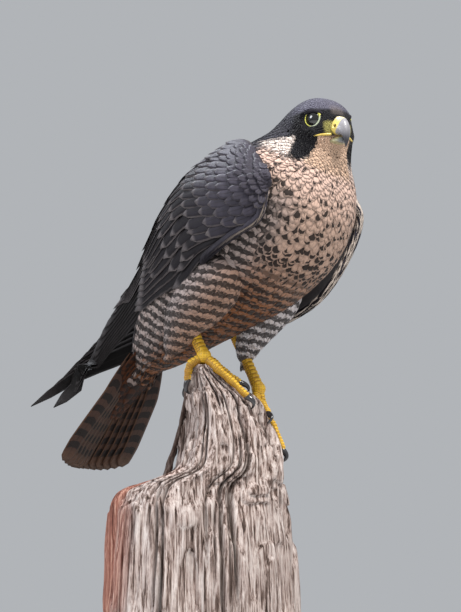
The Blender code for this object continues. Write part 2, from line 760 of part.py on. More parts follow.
WINGS = {
    "right": {
        "edge": [(80, -66, 86), (72, -69, 59), (43, -70, 45), (12, -69, 27), (-14, -61, 4), (-54, -46, -4),
                 (-94, -28, -19), (-134, -14, -37), (-160, -6, -50.5), (-200, 9, -79)],
        "middle": [(77, -69, 97), (50, -73, 100), (19, -69, 100), (-15, -60, 96), (-45, -52, 68), (-73, -38, 38),
                   (-104, -22, 10), (-136, -14, -20), (-160, -7, -48.5), (-200, 9, -78)],
        "back": [(68, -58, 110), (36, -30, 141), (7, -12, 145), (-21, -7, 124), (-51, -6, 98), (-81, -6, 63),
                 (-109, -6, 31), (-135, -12, -5), (-160, -7, -45.5), (-200, 9, -77)],
    },
    "left": {
        "edge": [(88, 68, 106), (92, 78, 82), (78, 76, 46), (50, 70, 10), (8, 63, -10), (-40, 53, -18),
                 (-88, 39, -31), (-134, 28, -43), (-176, 12, -57), (-211, -21, -77.5)],
        "middle": [(82, 72, 110), (56, 79, 102), (24, 75, 94), (-13, 65, 90), (-45, 54, 62), (-75, 41, 32),
                   (-106, 26, 8), (-139, 14, -15), (-174, -2, -39), (-211, -23, -75.5)],
        "back": [(68, 60, 114), (38, 32, 142), (7, 12, 145), (-21, 7, 124), (-51, 6, 98), (-81, 6, 63),
                 (-109, 5, 32), (-140, 0, 4), (-176, -12, -36), (-211, -25, -73.5)],
    },
}
WING_END = 9.0


def wing_point(guides, p, q):
    """The wing's surface: p runs from the wrist, 0, to WING_END, the tip, and q from the edge to the back."""
    edge, middle, back = (through(guides[k], p) for k in ("edge", "middle", "back"))
    pull = 2 * middle - (edge + back) / 2
    q = np.asarray(q, float)[..., None]
    return (1 - q) ** 2 * edge + 2 * q * (1 - q) * pull + q**2 * back


def wing_normal(guides, p, q):
    """The outward normal of the wing's surface, away from the middle line of the body."""
    step = 0.02
    q = np.clip(q, step, 1 - step)
    p = np.clip(p, step, WING_END - step)
    along = wing_point(guides, p + step, q) - wing_point(guides, p - step, q)
    across = wing_point(guides, p, q + step) - wing_point(guides, p, q - step)
    normal = unit(np.cross(along, across))
    spot = wing_point(guides, p, q)
    away = np.stack([spot[..., 0] * 0, spot[..., 1], spot[..., 2] - (0.81 * (spot[..., 0] + 88) - 38)], -1)
    return normal * np.sign((normal * away).sum(-1))[..., None]


def wing_core(name, guides, reach):
    """A shell that follows the surface from the wrist to reach, thinner and deeper as it goes, and closed."""
    turn = np.linspace(0, 2 * math.pi, CORE_SIDES, endpoint=False)
    across = (1 - np.cos(turn)) / 2
    rings = []
    for t in np.linspace(0, 1, CORE_RINGS):
        p = np.full(CORE_SIDES, t * reach)
        spot = wing_point(guides, p, across)
        normal = wing_normal(guides, p, across)
        half = CORE_HALF[0] + (CORE_HALF[1] - CORE_HALF[0]) * t
        sink = CORE_SINK * max(0, (t - 0.25) / 0.75)
        rings.append(spot + normal * (np.sin(turn)[:, None] * half - sink - half))
    rings = np.array(rings)
    front = rings[0].mean(0)
    first = front + (rings[0] - front) * 0.55 + unit(rings[0].mean(0) - rings[1].mean(0)) * 4
    return make(name, *skin_of(np.concatenate([[first], rings]), thin=True), SLATE)


CORE_REACH, CORE_HALF, CORE_SINK = 4.5, (4.5, 2.0), 3.5
CORE_SIDES, CORE_RINGS = 16, 8
# name, number, roots from p to p and from q to q, tips from p to p and from q to q,
# half-width, thickness, depth of the roots and of the tips, step in depth from tip to tip
WING_TIERS = (
    ("primary", 5, (3.9, 4.1), (0.1, 0.44), (9.0, 7.0), (0.3, 0.8), 8.5, 1.2, (6.0, 5.0), (0.0, 3.4), 1.6),
    ("secondary", 4, (3.7, 3.8), (0.46, 0.88), (6.1, 6.7), (0.58, 0.9), 11.0, 1.2, (5.0, 5.0), (2.4, 2.0), 0.3),
    ("greater", 4, (2.9, 3.1), (0.15, 0.88), (5.0, 5.4), (0.2, 0.9), 16.0, 1.2, (4.5, 4.5), (0.8, 0.6), 0.0),
    ("alula", 2, (1.5, 1.8), (0.06, 0.02), (3.6, 4.2), (0.12, 0.03), 6.0, 1.4, (4.0, 4.0), (-0.6, 0.8), 0.0),
    ("median", 4, (1.9, 2.2), (0.16, 0.88), (3.9, 4.3), (0.2, 0.9), 17.0, 1.2, (3.6, 3.6), (-0.9, -0.9), 0.0),
    ("lesser", 3, (0.8, 1.0), (0.2, 0.82), (2.7, 3.0), (0.24, 0.84), 20.0, 1.2, (3.0, 3.0), (-2.2, -2.2), 0.0),
    ("scapular", 2, (1.2, 2.6), (0.88, 0.88), (3.2, 5.0), (0.82, 0.86), 13.0, 1.4, (2.4, 2.4), (-3.6, -3.0), 0.0),
)
WING_ROLL = 0.13


def wing_feathers(word, guides, side):
    """Every tier's feathers, laid along the surface and shingled, each over the next towards the edge."""
    made = []
    for name, count, root_p, root_q, tip_p, tip_q, half, thick, root_deep, tip_deep, tier in WING_TIERS:
        for i in range(count):
            s = i / (count - 1)
            t = np.array([0.0, 0.4, 0.85, 1.0])
            p = (root_p[0] + (root_p[1] - root_p[0]) * s) * (1 - t) + (tip_p[0] + (tip_p[1] - tip_p[0]) * s) * t
            q = (root_q[0] + (root_q[1] - root_q[0]) * s) * (1 - t) + (tip_q[0] + (tip_q[1] - tip_q[0]) * s) * t
            deep = (root_deep[0] + (root_deep[1] - root_deep[0]) * s) * (1 - t)
            deep = deep + (tip_deep[0] + (tip_deep[1] - tip_deep[0]) * s + tier * (count - 1 - i)) * t
            normal = wing_normal(guides, p, q)
            path = wing_point(guides, p, q) - normal * deep[:, None]
            halves = half * np.array([0.7, 1.0, 0.85, 0.25])
            made.append(vane(f"{name}_{word}_{i}", path, normal, halves, thick, -side * WING_ROLL, SLATE))
    return made


neck_room = make("neck_room", *skin_of(body_rings(NECK_FROM, HEAD_FROM, NECK_RINGS, GAP)), CREAM)
MIDLINE_ENDS, MIDLINE_HIGH = (-128.0, 140.0), 260.0


def half_space(side):
    """A block on the other side of the midline, as far back as the wings lie side by side."""
    rear, front = MIDLINE_ENDS
    near, far = -side * GAP / 2, -side * 120.0
    corners = np.array([(x, y, z) for x in (rear, front) for y in (near, far) for z in (-60.0, MIDLINE_HIGH)])
    quads = [(0, 1, 3, 2), (4, 6, 7, 5), (0, 4, 5, 1), (2, 3, 7, 6), (0, 2, 6, 4), (1, 5, 7, 3)]
    faces = [t for a, b, c, d in quads for t in ((a, b, c), (a, c, d))]
    turned_out = side > 0
    return make(f"block_{turned_out}", corners, faces, SLATE)


# The exact solver leaves open edges where so many thin vanes cross
VANE_SOLVER = "MANIFOLD"
for word, side in (("right", -1), ("left", 1)):
    wing = wing_core(f"wing_{word}", WINGS[word], CORE_REACH)
    join(wing, wing_feathers(word, WINGS[word], side), VANE_SOLVER)
    block = half_space(side)
    cut(wing, [room, neck_room, thigh_rooms[word], block], VANE_SOLVER)
    bpy.data.objects.remove(block, do_unlink=True)


# The stand: a flat base and two short rods up to the wood

BASE_SIZE, BASE_EDGE = (240.0, 200.0), 3.0
ROD_RADIUS, ROD_APART = 5.0, 52.0


def stand_base():
    x, y = BASE_SIZE[0] / 2, BASE_SIZE[1] / 2
    e = BASE_EDGE
    layers = [(0, e * 0.4), (e * 0.4, 0), (BASE_TOP - e, 0), (BASE_TOP - e * 0.3, e * 0.3), (BASE_TOP, e)]
    rings = []
    for height, inset in layers:
        a, b, r = x - inset, y - inset, 10.0
        ring = []
        for cx, cy, start in ((a - r, b - r, 0), (r - a, b - r, 90), (r - a, r - b, 180), (a - r, r - b, 270)):
            for step in range(4):
                angle = math.radians(start + 30 * step)
                ring.append((cx + r * math.cos(angle), cy + r * math.sin(angle), height))
        rings.append(ring)
    return make("stand_base", *skin_of(np.array(rings)), STAND, shift=0, smooth=30)


stand_base()
for index, offset in enumerate((-1, 1), start=1):
    foot_of_rod = TRUNK_AXIS + DATUM + ACROSS * offset * ROD_APART / 2
    ends = [(foot_of_rod[0], foot_of_rod[1], z) for z in (BASE_TOP + GAP, BASE_TOP + ROD_LENGTH - GAP)]
    path = np.array([ends[0], np.mean(ends, axis=0), ends[1]])
    make(f"stand_rod_{index}", *skin_of(tube_rings(path, [ROD_RADIUS] * 3, 18, up=(1, 0, 0))), STEEL, shift=0)

for helper in [room, neck_room, *thigh_rooms.values()]:
    bpy.data.objects.remove(helper, do_unlink=True)
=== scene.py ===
import math

import bpy
import numpy as np
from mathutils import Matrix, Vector
from mathutils.bvhtree import BVHTree


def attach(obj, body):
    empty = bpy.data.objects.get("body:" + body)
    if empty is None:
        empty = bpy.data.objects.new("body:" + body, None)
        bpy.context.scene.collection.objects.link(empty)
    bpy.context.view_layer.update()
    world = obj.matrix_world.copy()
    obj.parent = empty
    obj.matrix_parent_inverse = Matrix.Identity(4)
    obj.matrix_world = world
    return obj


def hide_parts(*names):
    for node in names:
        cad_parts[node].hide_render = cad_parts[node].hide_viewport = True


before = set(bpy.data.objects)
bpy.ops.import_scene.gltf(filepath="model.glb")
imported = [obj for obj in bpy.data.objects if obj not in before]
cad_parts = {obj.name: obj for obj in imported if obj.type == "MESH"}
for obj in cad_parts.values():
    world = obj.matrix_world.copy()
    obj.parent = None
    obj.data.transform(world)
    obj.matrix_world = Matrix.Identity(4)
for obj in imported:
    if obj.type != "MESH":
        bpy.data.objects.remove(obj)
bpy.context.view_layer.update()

# The view from a little under the bird and to its front right, with a plain pale floor and sky.
# One large soft light hangs high on the right, a second fills from the left and a third rims the back.
BELLY = np.array([0.022, 0.014, 0.338])
VIEW_AZIMUTH, VIEW_ELEVATION, VIEW_DISTANCE = 33.0, -10.0, 1.6
VIEW_LENS, VIEW_SENSOR = 105.4, 36.0
FLOOR_COLOUR, FLOOR_REACH = (0.60, 0.60, 0.59, 1), 30.0
SKY_COLOUR, SKY_STRENGTH = (0.80, 0.83, 0.87, 1), 0.55
# azimuth, elevation, distance, width, power and colour
LIGHTS = {
    "key_light": (70, 52, 1.5, 0.6, 30, (1.0, 0.97, 0.93)),
    "left_fill": (-30, 30, 1.7, 0.8, 15, (0.94, 0.96, 1.0)),
    "top_rim": (250, 60, 1.5, 0.6, 16, (0.88, 0.93, 1.0)),
}


def direction(azimuth, elevation):
    """The unit vector from the bird towards a place at that azimuth and elevation in degrees."""
    a, e = math.radians(azimuth), math.radians(elevation)
    return np.array([math.sin(a) * math.cos(e), -math.cos(a) * math.cos(e), math.sin(e)])


def facing(azimuth, elevation):
    """The turn of a lens or a light that looks at the bird from there."""
    return Vector(direction(azimuth, elevation)).to_track_quat("Z", "Y").to_euler()


def node(tree, kind, inputs=(), **settings):
    """A shader node with its settings made; an input that is a socket is linked, another is set."""
    made = tree.nodes.new("ShaderNode" + kind)
    for key, value in settings.items():
        setattr(made, key, value)
    for key, value in dict(inputs).items():
        if isinstance(value, bpy.types.NodeSocket):
            tree.links.new(value, made.inputs[key])
        else:
            made.inputs[key].default_value = value
    return made


def finish(name, **sockets):
    """A new material with its Principled shader's sockets, named by their words, set to constants."""
    made = bpy.data.materials.new(name)
    made.use_nodes = True
    shader = made.node_tree.nodes["Principled BSDF"]
    for words, value in sockets.items():
        shader.inputs[words.replace("_", " ")].default_value = value
    return made, made.node_tree, shader


def soft_light(name, azimuth, elevation, distance, size, power, colour):
    lamp = bpy.data.lights.new(name, "AREA")
    lamp.shape, lamp.size, lamp.energy, lamp.color = "DISK", size, power, colour
    made = bpy.data.objects.new(name, lamp)
    bpy.context.scene.collection.objects.link(made)
    made.location = Vector(BELLY + direction(azimuth, elevation) * distance)
    made.rotation_euler = facing(azimuth, elevation)


lens = bpy.data.cameras.new("picture_lens")
lens.lens, lens.sensor_width, lens.clip_start = VIEW_LENS, VIEW_SENSOR, 0.02
camera = bpy.data.objects.new("picture_camera", lens)
bpy.context.scene.collection.objects.link(camera)
camera.location = Vector(BELLY + direction(VIEW_AZIMUTH, VIEW_ELEVATION) * VIEW_DISTANCE)
camera.rotation_euler = facing(VIEW_AZIMUTH, VIEW_ELEVATION)
bpy.context.scene.camera = camera
bpy.context.scene.view_settings.view_transform = "Standard"

sky = bpy.data.worlds.new("studio_sky")
sky.use_nodes = True
sky.node_tree.nodes["Background"].inputs["Color"].default_value = SKY_COLOUR
sky.node_tree.nodes["Background"].inputs["Strength"].default_value = SKY_STRENGTH
bpy.context.scene.world = sky
for light, settings in LIGHTS.items():
    soft_light(light, *settings)

floor_mesh = bpy.data.meshes.new("studio_floor")
corners = [(x * FLOOR_REACH, y * FLOOR_REACH, 0) for x, y in ((-1, -1), (1, -1), (1, 1), (-1, 1))]
floor_mesh.from_pydata(corners, [], [(0, 1, 2, 3)])
floor_paint, _, _ = finish("studio_floor", Base_Color=FLOOR_COLOUR, Roughness=0.9)
floor_mesh.materials.append(floor_paint)
studio_floor = bpy.data.objects.new("studio_floor", floor_mesh)
bpy.context.scene.collection.objects.link(studio_floor)


# The display stand: a flat plate in satin black and two steel rods up into the wood. The solids of
# the frame already have the true shape, so they only take a finish: fine orange peel in the paint,
# and drawn lines along the rods.
STAND_BLACK, ROD_STEEL = (0.022, 0.022, 0.024, 1), (0.55, 0.55, 0.56, 1)


def bumped(tree, shader, height, strength, distance):
    """Bump of the shader's surface from a height, up to a distance in metres."""
    bump = node(tree, "Bump", {"Height": height, "Strength": strength, "Distance": distance})
    tree.links.new(bump.outputs["Normal"], shader.inputs["Normal"])


def object_noise(tree, scale, detail=3.0, stretch=(1, 1, 1), roughness=0.5):
    """Noise on the piece's own coordinates in metres, stretched along each axis."""
    place = node(tree, "TexCoord").outputs["Object"]
    mapped = node(tree, "Mapping", {"Vector": place, "Scale": stretch}).outputs["Vector"]
    made = node(
        tree, "TexNoise", {"Vector": mapped, "Scale": scale, "Detail": detail, "Roughness": roughness}
    )
    return made.outputs["Fac"]


def ramp(tree, factor, stops):
    """A colour band over a factor, from pairs of a place and a colour."""
    made = node(tree, "ValToRGB", {"Fac": factor})
    band = made.color_ramp
    while len(band.elements) < len(stops):
        band.elements.new(0.5)
    for element, (place, colour) in zip(band.elements, stops):
        element.position, element.color = place, (*colour[:3], 1)
    return made.outputs["Color"]


def blended(tree, share, first, second, kind="MIX"):
    made = node(tree, "MixRGB", {"Fac": share, "Color1": first, "Color2": second}, blend_type=kind)
    return made.outputs[0]


def painted(tree, word, output="Color"):
    """A value that the piece holds at its points."""
    return node(tree, "Attribute", attribute_name=word).outputs[output]


satin, tree, shader = finish("satin_black_paint", Base_Color=STAND_BLACK, Roughness=0.42)
grain = object_noise(tree, 900)
bumped(tree, shader, grain, 0.12, 0.0003)
rough = node(tree, "MapRange", {"Value": object_noise(tree, 25), "To Min": 0.34, "To Max": 0.52})
tree.links.new(rough.outputs["Result"], shader.inputs["Roughness"])
steel, tree, shader = finish("drawn_steel", Base_Color=ROD_STEEL, Roughness=0.3, Metallic=1.0)
lines = object_noise(tree, 400, stretch=(1, 1, 0.02))
rough = node(tree, "MapRange", {"Value": lines, "To Min": 0.2, "To Max": 0.42})
tree.links.new(rough.outputs["Result"], shader.inputs["Roughness"])
bumped(tree, shader, lines, 0.1, 0.0002)
for name, paint in (("stand_base", satin), ("stand_rod_1", steel), ("stand_rod_2", steel)):
    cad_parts[name].data.materials.clear()
    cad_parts[name].data.materials.append(paint)


# The perch: the broken top of a dead trunk, grey and fibrous, torn to a spire where the feet grip it.
# It is a ringed surface split by long cracks and lifted fibres, with loose slivers along its sides; the
# sliver on the left is painted dark as shadow.
MM = 0.001
ACROSS = np.array([math.cos(math.radians(VIEW_AZIMUTH)), math.sin(math.radians(VIEW_AZIMUTH)), 0.0])
TOWARDS = np.array([ACROSS[1], -ACROSS[0], 0.0])
TRUNK_AXIS = np.array([-22.0, -14.0, 0.0])
# height, middle u, middle w, half-width u, half-depth w, in millimetres from the bird's belly
TRUNK = np.array([
    (-293, 0, 0, 84, 64), (-269, 0, 0, 83.5, 64), (-225, 0, 0, 80.5, 62), (-190, -1, -1, 77.5, 60),
    (-173, -1, -2, 75.5, 57), (-161, 4, -3, 68, 54), (-147, 21, -4, 50, 50), (-124, 24, -5, 44.5, 44),
    (-102, 21.5, -4, 37, 38), (-86, 18, -1, 32.5, 32), (-75, 11.5, 4, 25, 24), (-64, 4.5, 10, 15.5, 16),
    (-56, 1.5, 15, 8, 9),
])
SPLINTERS = ((3, 0.035, 0.4), (5, 0.03, 1.9), (8, 0.022, 3.1), (11, 0.014, 5.0))
SPLINTER_DRIFT, PLAIN_RINGS, PLAIN_SIDES = 0.016, 17, 26
WOOD_ROWS, WOOD_SIDES = 310, 310
# fibres: depth, cells round and up the trunk, and whether they end in a sharp ridge
FIBRES = ((1.3, (15, 5), False), (1.1, (30, 7), True), (0.9, (66, 10), True), (0.5, (150, 24), False))
RIDGE, SWAY, TWIST, LEDGE_DEPTH, LEDGE_SHARP, SURFACE_SINK = 2.4, 0.004, 0.006, 1.6, 20, 0.8
# cracks: how many, ranges of width and depth, the share of the height in which an end fades, wander
CRACKS, CRACK_WIDE, CRACK_DEEP, CRACK_FADE, CRACK_WANDER = 64, (0.0010, 0.0040), (2.0, 7.5), 0.06, 0.003
SILVER = (
    (0.35, (0.028, 0.018, 0.014)), (0.43, (0.19, 0.135, 0.115)), (0.51, (0.55, 0.46, 0.43)),
    (0.63, (0.82, 0.75, 0.72)),
)
PATCHES = (
    (0.34, (0.26, 0.16, 0.11)), (0.45, (0.58, 0.52, 0.50)), (0.56, (0.74, 0.62, 0.57)),
    (0.68, (0.92, 0.88, 0.86)),
)
HEARTWOOD = ((0.34, (0.10, 0.03, 0.02)), (0.5, (0.36, 0.15, 0.11)), (0.64, (0.62, 0.36, 0.28)))
# the dark brown laid into the cracks and over the left sliver is painted shade
DUST, SHADE_BROWN = ((0.40, (0.12, 0.09, 0.08)), (0.60, (0.85, 0.79, 0.75))), (0.030, 0.019, 0.014, 1)


def through(knots, places):
    """A smooth curve through evenly numbered knots, read at places from 0 to len(knots) - 1.

    Between two knots it is the cubic that meets both with the slope of the knots around them.
    """
    knots = np.asarray(knots, float)
    ends = np.vstack([2 * knots[0] - knots[1], knots, 2 * knots[-1] - knots[-2]])
    slope = (ends[2:] - ends[:-2]) / 2
    places = np.clip(np.asarray(places, float), 0, len(knots) - 1)
    low = np.minimum(places.astype(int), len(knots) - 2)
    t = (places - low)[..., None]
    a, b, ma, mb = knots[low], knots[low + 1], slope[low], slope[low + 1]
    return (
        (2 * t**3 - 3 * t**2 + 1) * a + (t**3 - 2 * t**2 + t) * ma
        + (3 * t**2 - 2 * t**3) * b + (t**3 - t**2) * mb
    )


def unit(v):
    return v / np.maximum(np.linalg.norm(v, axis=-1, keepdims=True), 1e-12)


def lattice(a, b, cells, seed):
    """Smooth noise from -1 to 1: random values on a grid, eased between; a wraps round, both run 0 to 1."""
    table = np.random.default_rng(seed).uniform(-1, 1, cells)
    x, y = (a % 1.0) * cells[0], np.clip(b, 0, 0.9999) * (cells[1] - 1)
    i, j = x.astype(int) % cells[0], y.astype(int)
    fx, fy = x - np.floor(x), y - np.floor(y)
    fx, fy = fx * fx * (3 - 2 * fx), fy * fy * (3 - 2 * fy)
    k, m = (i + 1) % cells[0], np.minimum(j + 1, cells[1] - 1)
    low, high = table[i, j] * (1 - fx) + table[k, j] * fx, table[i, m] * (1 - fx) + table[k, m] * fx
    return low * (1 - fy) + high * fy


def grid_faces(rows, sides, closed=True):
    """Four-cornered faces between rows of points; when closed, each row is a ring."""
    i, j = np.meshgrid(np.arange(rows - 1), np.arange(sides if closed else sides - 1), indexing="ij")
    a, b = i * sides + j, i * sides + (j + 1) % sides
    return np.stack([a, b, b + sides, a + sides], -1).reshape(-1, 4)


def capped(points):
    """Points (rows, sides, 3) as a flat list with one more at each end's middle, and its faces."""
    rows, sides = points.shape[:2]
    flat = np.vstack([points.reshape(-1, 3), points[0].mean(0), points[-1].mean(0)])
    j = np.arange(sides)
    k, last = (j + 1) % sides, (rows - 1) * sides
    first_fan = np.stack([k, j, np.full(sides, rows * sides)], -1)
    last_fan = np.stack([last + j, last + k, np.full(sides, rows * sides + 1)], -1)
    return flat, grid_faces(rows, sides), np.vstack([first_fan, last_fan])


def piece(name, points, quads, triangles, paint, replaced=(), fields=(), uvs=()):
    """A smooth mesh piece that rides on the body, from points in millimetres about the bird's belly.

    fields are values at its points, uvs are maps at its points. Faces are turned outwards together.
    """
    quads = np.asarray(quads, int).reshape(-1, 4)
    triangles = np.asarray(triangles, int).reshape(-1, 3)
    corner = points[np.vstack([quads[:, [0, 1, 2]], quads[:, [0, 2, 3]], triangles])] - points[0]
    if np.einsum("ij,ij->", corner[:, 0], np.cross(corner[:, 1], corner[:, 2])) < 0:
        quads, triangles = quads[:, ::-1], triangles[:, ::-1]
    corners = np.concatenate([quads.reshape(-1), triangles.reshape(-1)])
    counts = np.concatenate([np.full(len(quads), 4), np.full(len(triangles), 3)])
    mesh = bpy.data.meshes.new(name)
    mesh.vertices.add(len(points))
    mesh.vertices.foreach_set("co", (points * MM + BELLY).astype(np.float32).reshape(-1))
    mesh.loops.add(len(corners))
    mesh.loops.foreach_set("vertex_index", corners.astype(np.int32))
    mesh.polygons.add(len(counts))
    mesh.polygons.foreach_set("loop_start", (np.cumsum(counts) - counts).astype(np.int32))
    mesh.update(calc_edges=True)
    mesh.shade_smooth()
    for word, values in dict(fields).items():
        kind, key = {1: ("FLOAT", "value"), 3: ("FLOAT_VECTOR", "vector"), 4: ("FLOAT_COLOR", "color")}[
            1 if values.ndim == 1 else values.shape[1]
        ]
        layer = mesh.attributes.new(word, kind, "POINT")
        layer.data.foreach_set(key, values.astype(np.float32).reshape(-1))
    for word, values in dict(uvs).items():
        layer = mesh.uv_layers.new(name=word)
        layer.data.foreach_set("uv", values[corners].astype(np.float32).reshape(-1))
    mesh.materials.append(paint)
    made = bpy.data.objects.new(name, mesh)
    bpy.context.scene.collection.objects.link(made)
    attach(made, "root")
    if replaced:
        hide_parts(*replaced)
    return made


def shell(name, rings, paint, slot, replaced=(), **fields):
    """A piece from closed rings (rows, sides, 3).

    A field holds one value for all points, one for each point, or one for each place of the rings.
    """
    points, quads, fans = capped(rings)
    for word, values in fields.items():
        values = np.asarray(values, float)
        if values.ndim == 3:
            values = np.vstack([values.reshape(-1, 3), values[0, :1], values[-1, :1]])
        elif values.shape != (len(points),):
            values = np.tile(values, (len(points), 1)) if values.ndim else np.full(len(points), values)
        fields[word] = np.c_[values, np.ones(len(points))] if values.ndim == 2 else values
    return piece(name, points, quads, fans, paint, replaced, fields)


def trunk_rings(rows, sides):
    """The plain trunk: ellipses with a few broad ribs, which drift round as they climb."""
    t = np.linspace(0, 1, rows)
    height, u, w, half_u, half_w = through(TRUNK, t * (len(TRUNK) - 1)).T[:, :, None]
    turn = np.linspace(0, 2 * math.pi, sides, endpoint=False)[None]
    drift = (t * (PLAIN_RINGS - 1))[:, None] * SPLINTER_DRIFT
    ribs = sum(size * np.cos(n * turn + phase + n * drift) for n, size, phase in SPLINTERS)
    along_u, along_w = u + half_u * (1 + ribs) * np.cos(turn), w + half_w * (1 + ribs) * np.sin(turn)
    points = TRUNK_AXIS + along_u[..., None] * ACROSS + along_w[..., None] * TOWARDS
    points[..., 2] = height
    return points


plain = trunk_rings(PLAIN_RINGS, PLAIN_SIDES)
plain_points, plain_quads, plain_fans = capped(plain)
wood_tree = BVHTree.FromPolygons(
    plain_points.tolist(), [list(map(int, f))[::-1] for f in (*plain_quads, *plain_fans)]
)
rings = trunk_rings(WOOD_ROWS, WOOD_SIDES)
tall = np.repeat(np.linspace(0, 1, WOOD_ROWS)[:, None], WOOD_SIDES, 1)
round_turn = np.repeat(np.linspace(0, 1, WOOD_SIDES, endpoint=False)[None], WOOD_ROWS, 0)
sway = round_turn + SWAY * lattice(round_turn, tall, (5, 4), 21) + TWIST * tall
fibre = np.zeros_like(tall)
for seed, (size, cells, sharp) in enumerate(FIBRES, 1):
    swell = lattice(sway, tall, cells, seed)
    fibre += size * (1 - RIDGE * np.abs(swell) if sharp else swell)
steps = lattice(sway, tall, (26, 9), 5)
slabs = LEDGE_DEPTH * (np.tanh(LEDGE_SHARP * (steps - 0.25)) + np.tanh(LEDGE_SHARP * (steps + 0.3)))
rng = np.random.default_rng(7)
dark = np.zeros_like(tall)
for line in range(CRACKS):
    start, wide, deep = rng.uniform(0, 1), rng.uniform(*CRACK_WIDE), rng.uniform(*CRACK_DEEP)
    low, high = sorted(rng.uniform(-0.15, 1.15, 2))
    wander = CRACK_WANDER * lattice(tall, tall * 0, (7, 2), 40 + line)
    aside = np.abs((sway - start + 0.5 + wander) % 1.0 - 0.5)
    gate = np.clip((tall - low) / CRACK_FADE, 0, 1) * np.clip((high - tall) / CRACK_FADE, 0, 1)
    dent = np.exp(-((aside / wide) ** 2)) * gate
    fibre = fibre - deep * dent
    dark = np.maximum(dark, dent)
calm = np.clip((1 - tall) / 0.06, 0, 1) * np.clip(tall / 0.02, 0.3, 1)
middle = rings.mean(axis=1, keepdims=True)
outward = unit((rings - middle) * np.array([1.0, 1.0, 0.0]))
rings = rings + outward * ((fibre + slabs - SURFACE_SINK) * calm)[..., None]
rings[..., 2] += 1.2 * lattice(sway, tall, (60, 9), 8) * np.clip((tall - 0.3) * 4, 0, 1) * calm
red = (
    np.clip((0.55 + 0.25 * steps - np.abs(round_turn - 0.52) * 4.4) * 3, 0, 1)
    * np.clip((0.52 - tall) * 12, 0, 1)
)
grey_wood, tree, shader = finish("weathered_grey_wood", Roughness=0.86, Specular_IOR_Level=0.25)
long_grain = object_noise(tree, 390, 6, (1, 1, 0.040), 0.66)
patches = object_noise(tree, 34, 4, (1, 1, 0.35), 0.6)
speckle = object_noise(tree, 900, 3, (1, 1, 0.25))
silver, tint = ramp(tree, long_grain, SILVER), ramp(tree, patches, PATCHES)
lifted = blended(tree, 0.55, blended(tree, 0.75, silver, tint, "MULTIPLY"), silver)
# painted shade: this field darkens the cracks and the sliver on the left towards dark brown
redness, crack = painted(tree, "red", "Fac"), painted(tree, "crack", "Fac")
warm = blended(tree, redness, lifted, ramp(tree, long_grain, HEARTWOOD))
dust_and_shade = blended(tree, 0.22, blended(tree, crack, warm, SHADE_BROWN), ramp(tree, speckle, DUST), "SOFT_LIGHT")
tree.links.new(dust_and_shade, shader.inputs["Base Color"])
high = node(tree, "Math", {0: long_grain, 1: speckle}, operation="ADD").outputs[0]
bumped(tree, shader, high, 0.9, 0.0016)
# the cracks' mask is painted shade in them, weaker where the trunk is calm
dark_field, red_field = (
    np.concatenate([field.reshape(-1), [0, 0]]) for field in (dark * 0.9 * (0.4 + 0.6 * calm), red)
)
shell("perch_wood", rings, grey_wood, "weathered_wood", ("perch_trunk",), crack=dark_field, red=red_field)
# one long sliver stands a little away from the left side of the spire, still rooted in the trunk; it is
# painted dark as the shadow on that side
SLIVER_SHADE, SLIVER_RED = 0.78, 0.25
SLIVER = np.array([
    (-11, -2, -62, 2.2), (-14, -4, -85, 4.2), (-19, -8, -112, 5.6), (-27, -12, -138, 7.0),
    (-36, -14, -168, 8.5)
])
t = np.linspace(0, 1, 60)
rows = through(SLIVER, t * (len(SLIVER) - 1))
turn = np.linspace(0, 2 * math.pi, 28, endpoint=False)
ragged = (
    1 + 0.16 * lattice(turn[None] / (2 * math.pi) + 0 * t[:, None], t[:, None] + 0 * turn[None], (9, 26), 61)
)
across = rows[:, 0:1] + rows[:, 3:4] * 0.45 * np.cos(turn) * ragged
inward = rows[:, 1:2] + rows[:, 3:4] * 1.3 * np.sin(turn) * ragged
sliver = TRUNK_AXIS + across[..., None] * ACROSS + inward[..., None] * TOWARDS
sliver[..., 2] = rows[:, 2:3] + 2.0 * np.sin(turn * 3 + 1) * (t[:, None] < 0.05)
shell("shaded_wood_sliver", sliver, grey_wood, "weathered_wood", crack=SLIVER_SHADE, red=SLIVER_RED)


# The soft body under the feathers: trunk, neck and head are one loft of squarish sections, and the two
# feathered thighs are tubes that leave its flanks. This skin lies inside the feathers by their depth.
HEAD_AT, HEAD_TURN = np.array([98.6, 0.0, 152.8]), -25.0
# back x, back z, breast x, breast z, half-width, turn of the section in degrees
SECTIONS = np.array([
    (-101, -42, -86, -54, 17, 0), (-95, -12, -60, -48, 30, 0), (-76, 30, -26, -34, 44, 0),
    (-52, 65, 12, -20, 55, 0), (-26, 94, 56, -2, 60, 0), (-4, 115, 94, 26, 62, 0), (14, 129, 114, 58, 60, 0),
    (26, 140, 119.5, 83, 52, -2), (36, 147.5, 118, 100, 43, -7), (45, 154.5, 116, 110, 35.5, -13),
    (54, 163.5, 115, 117.5, 32, -20), (65, 171.5, 114.5, 122.5, 30, -25), (79, 176, 115, 126, 28, -25),
    (93, 177, 115.5, 128.5, 26.5, -25), (103, 174.5, 116.5, 130, 23.5, -25),
    (111, 169.5, 117.5, 131.5, 19.5, -25), (116.5, 163, 118.5, 133, 15, -25),
    (120, 156, 119.5, 134.5, 10.5, -25)
])
FACE_END, SQUARENESS = 17.0, 2.2
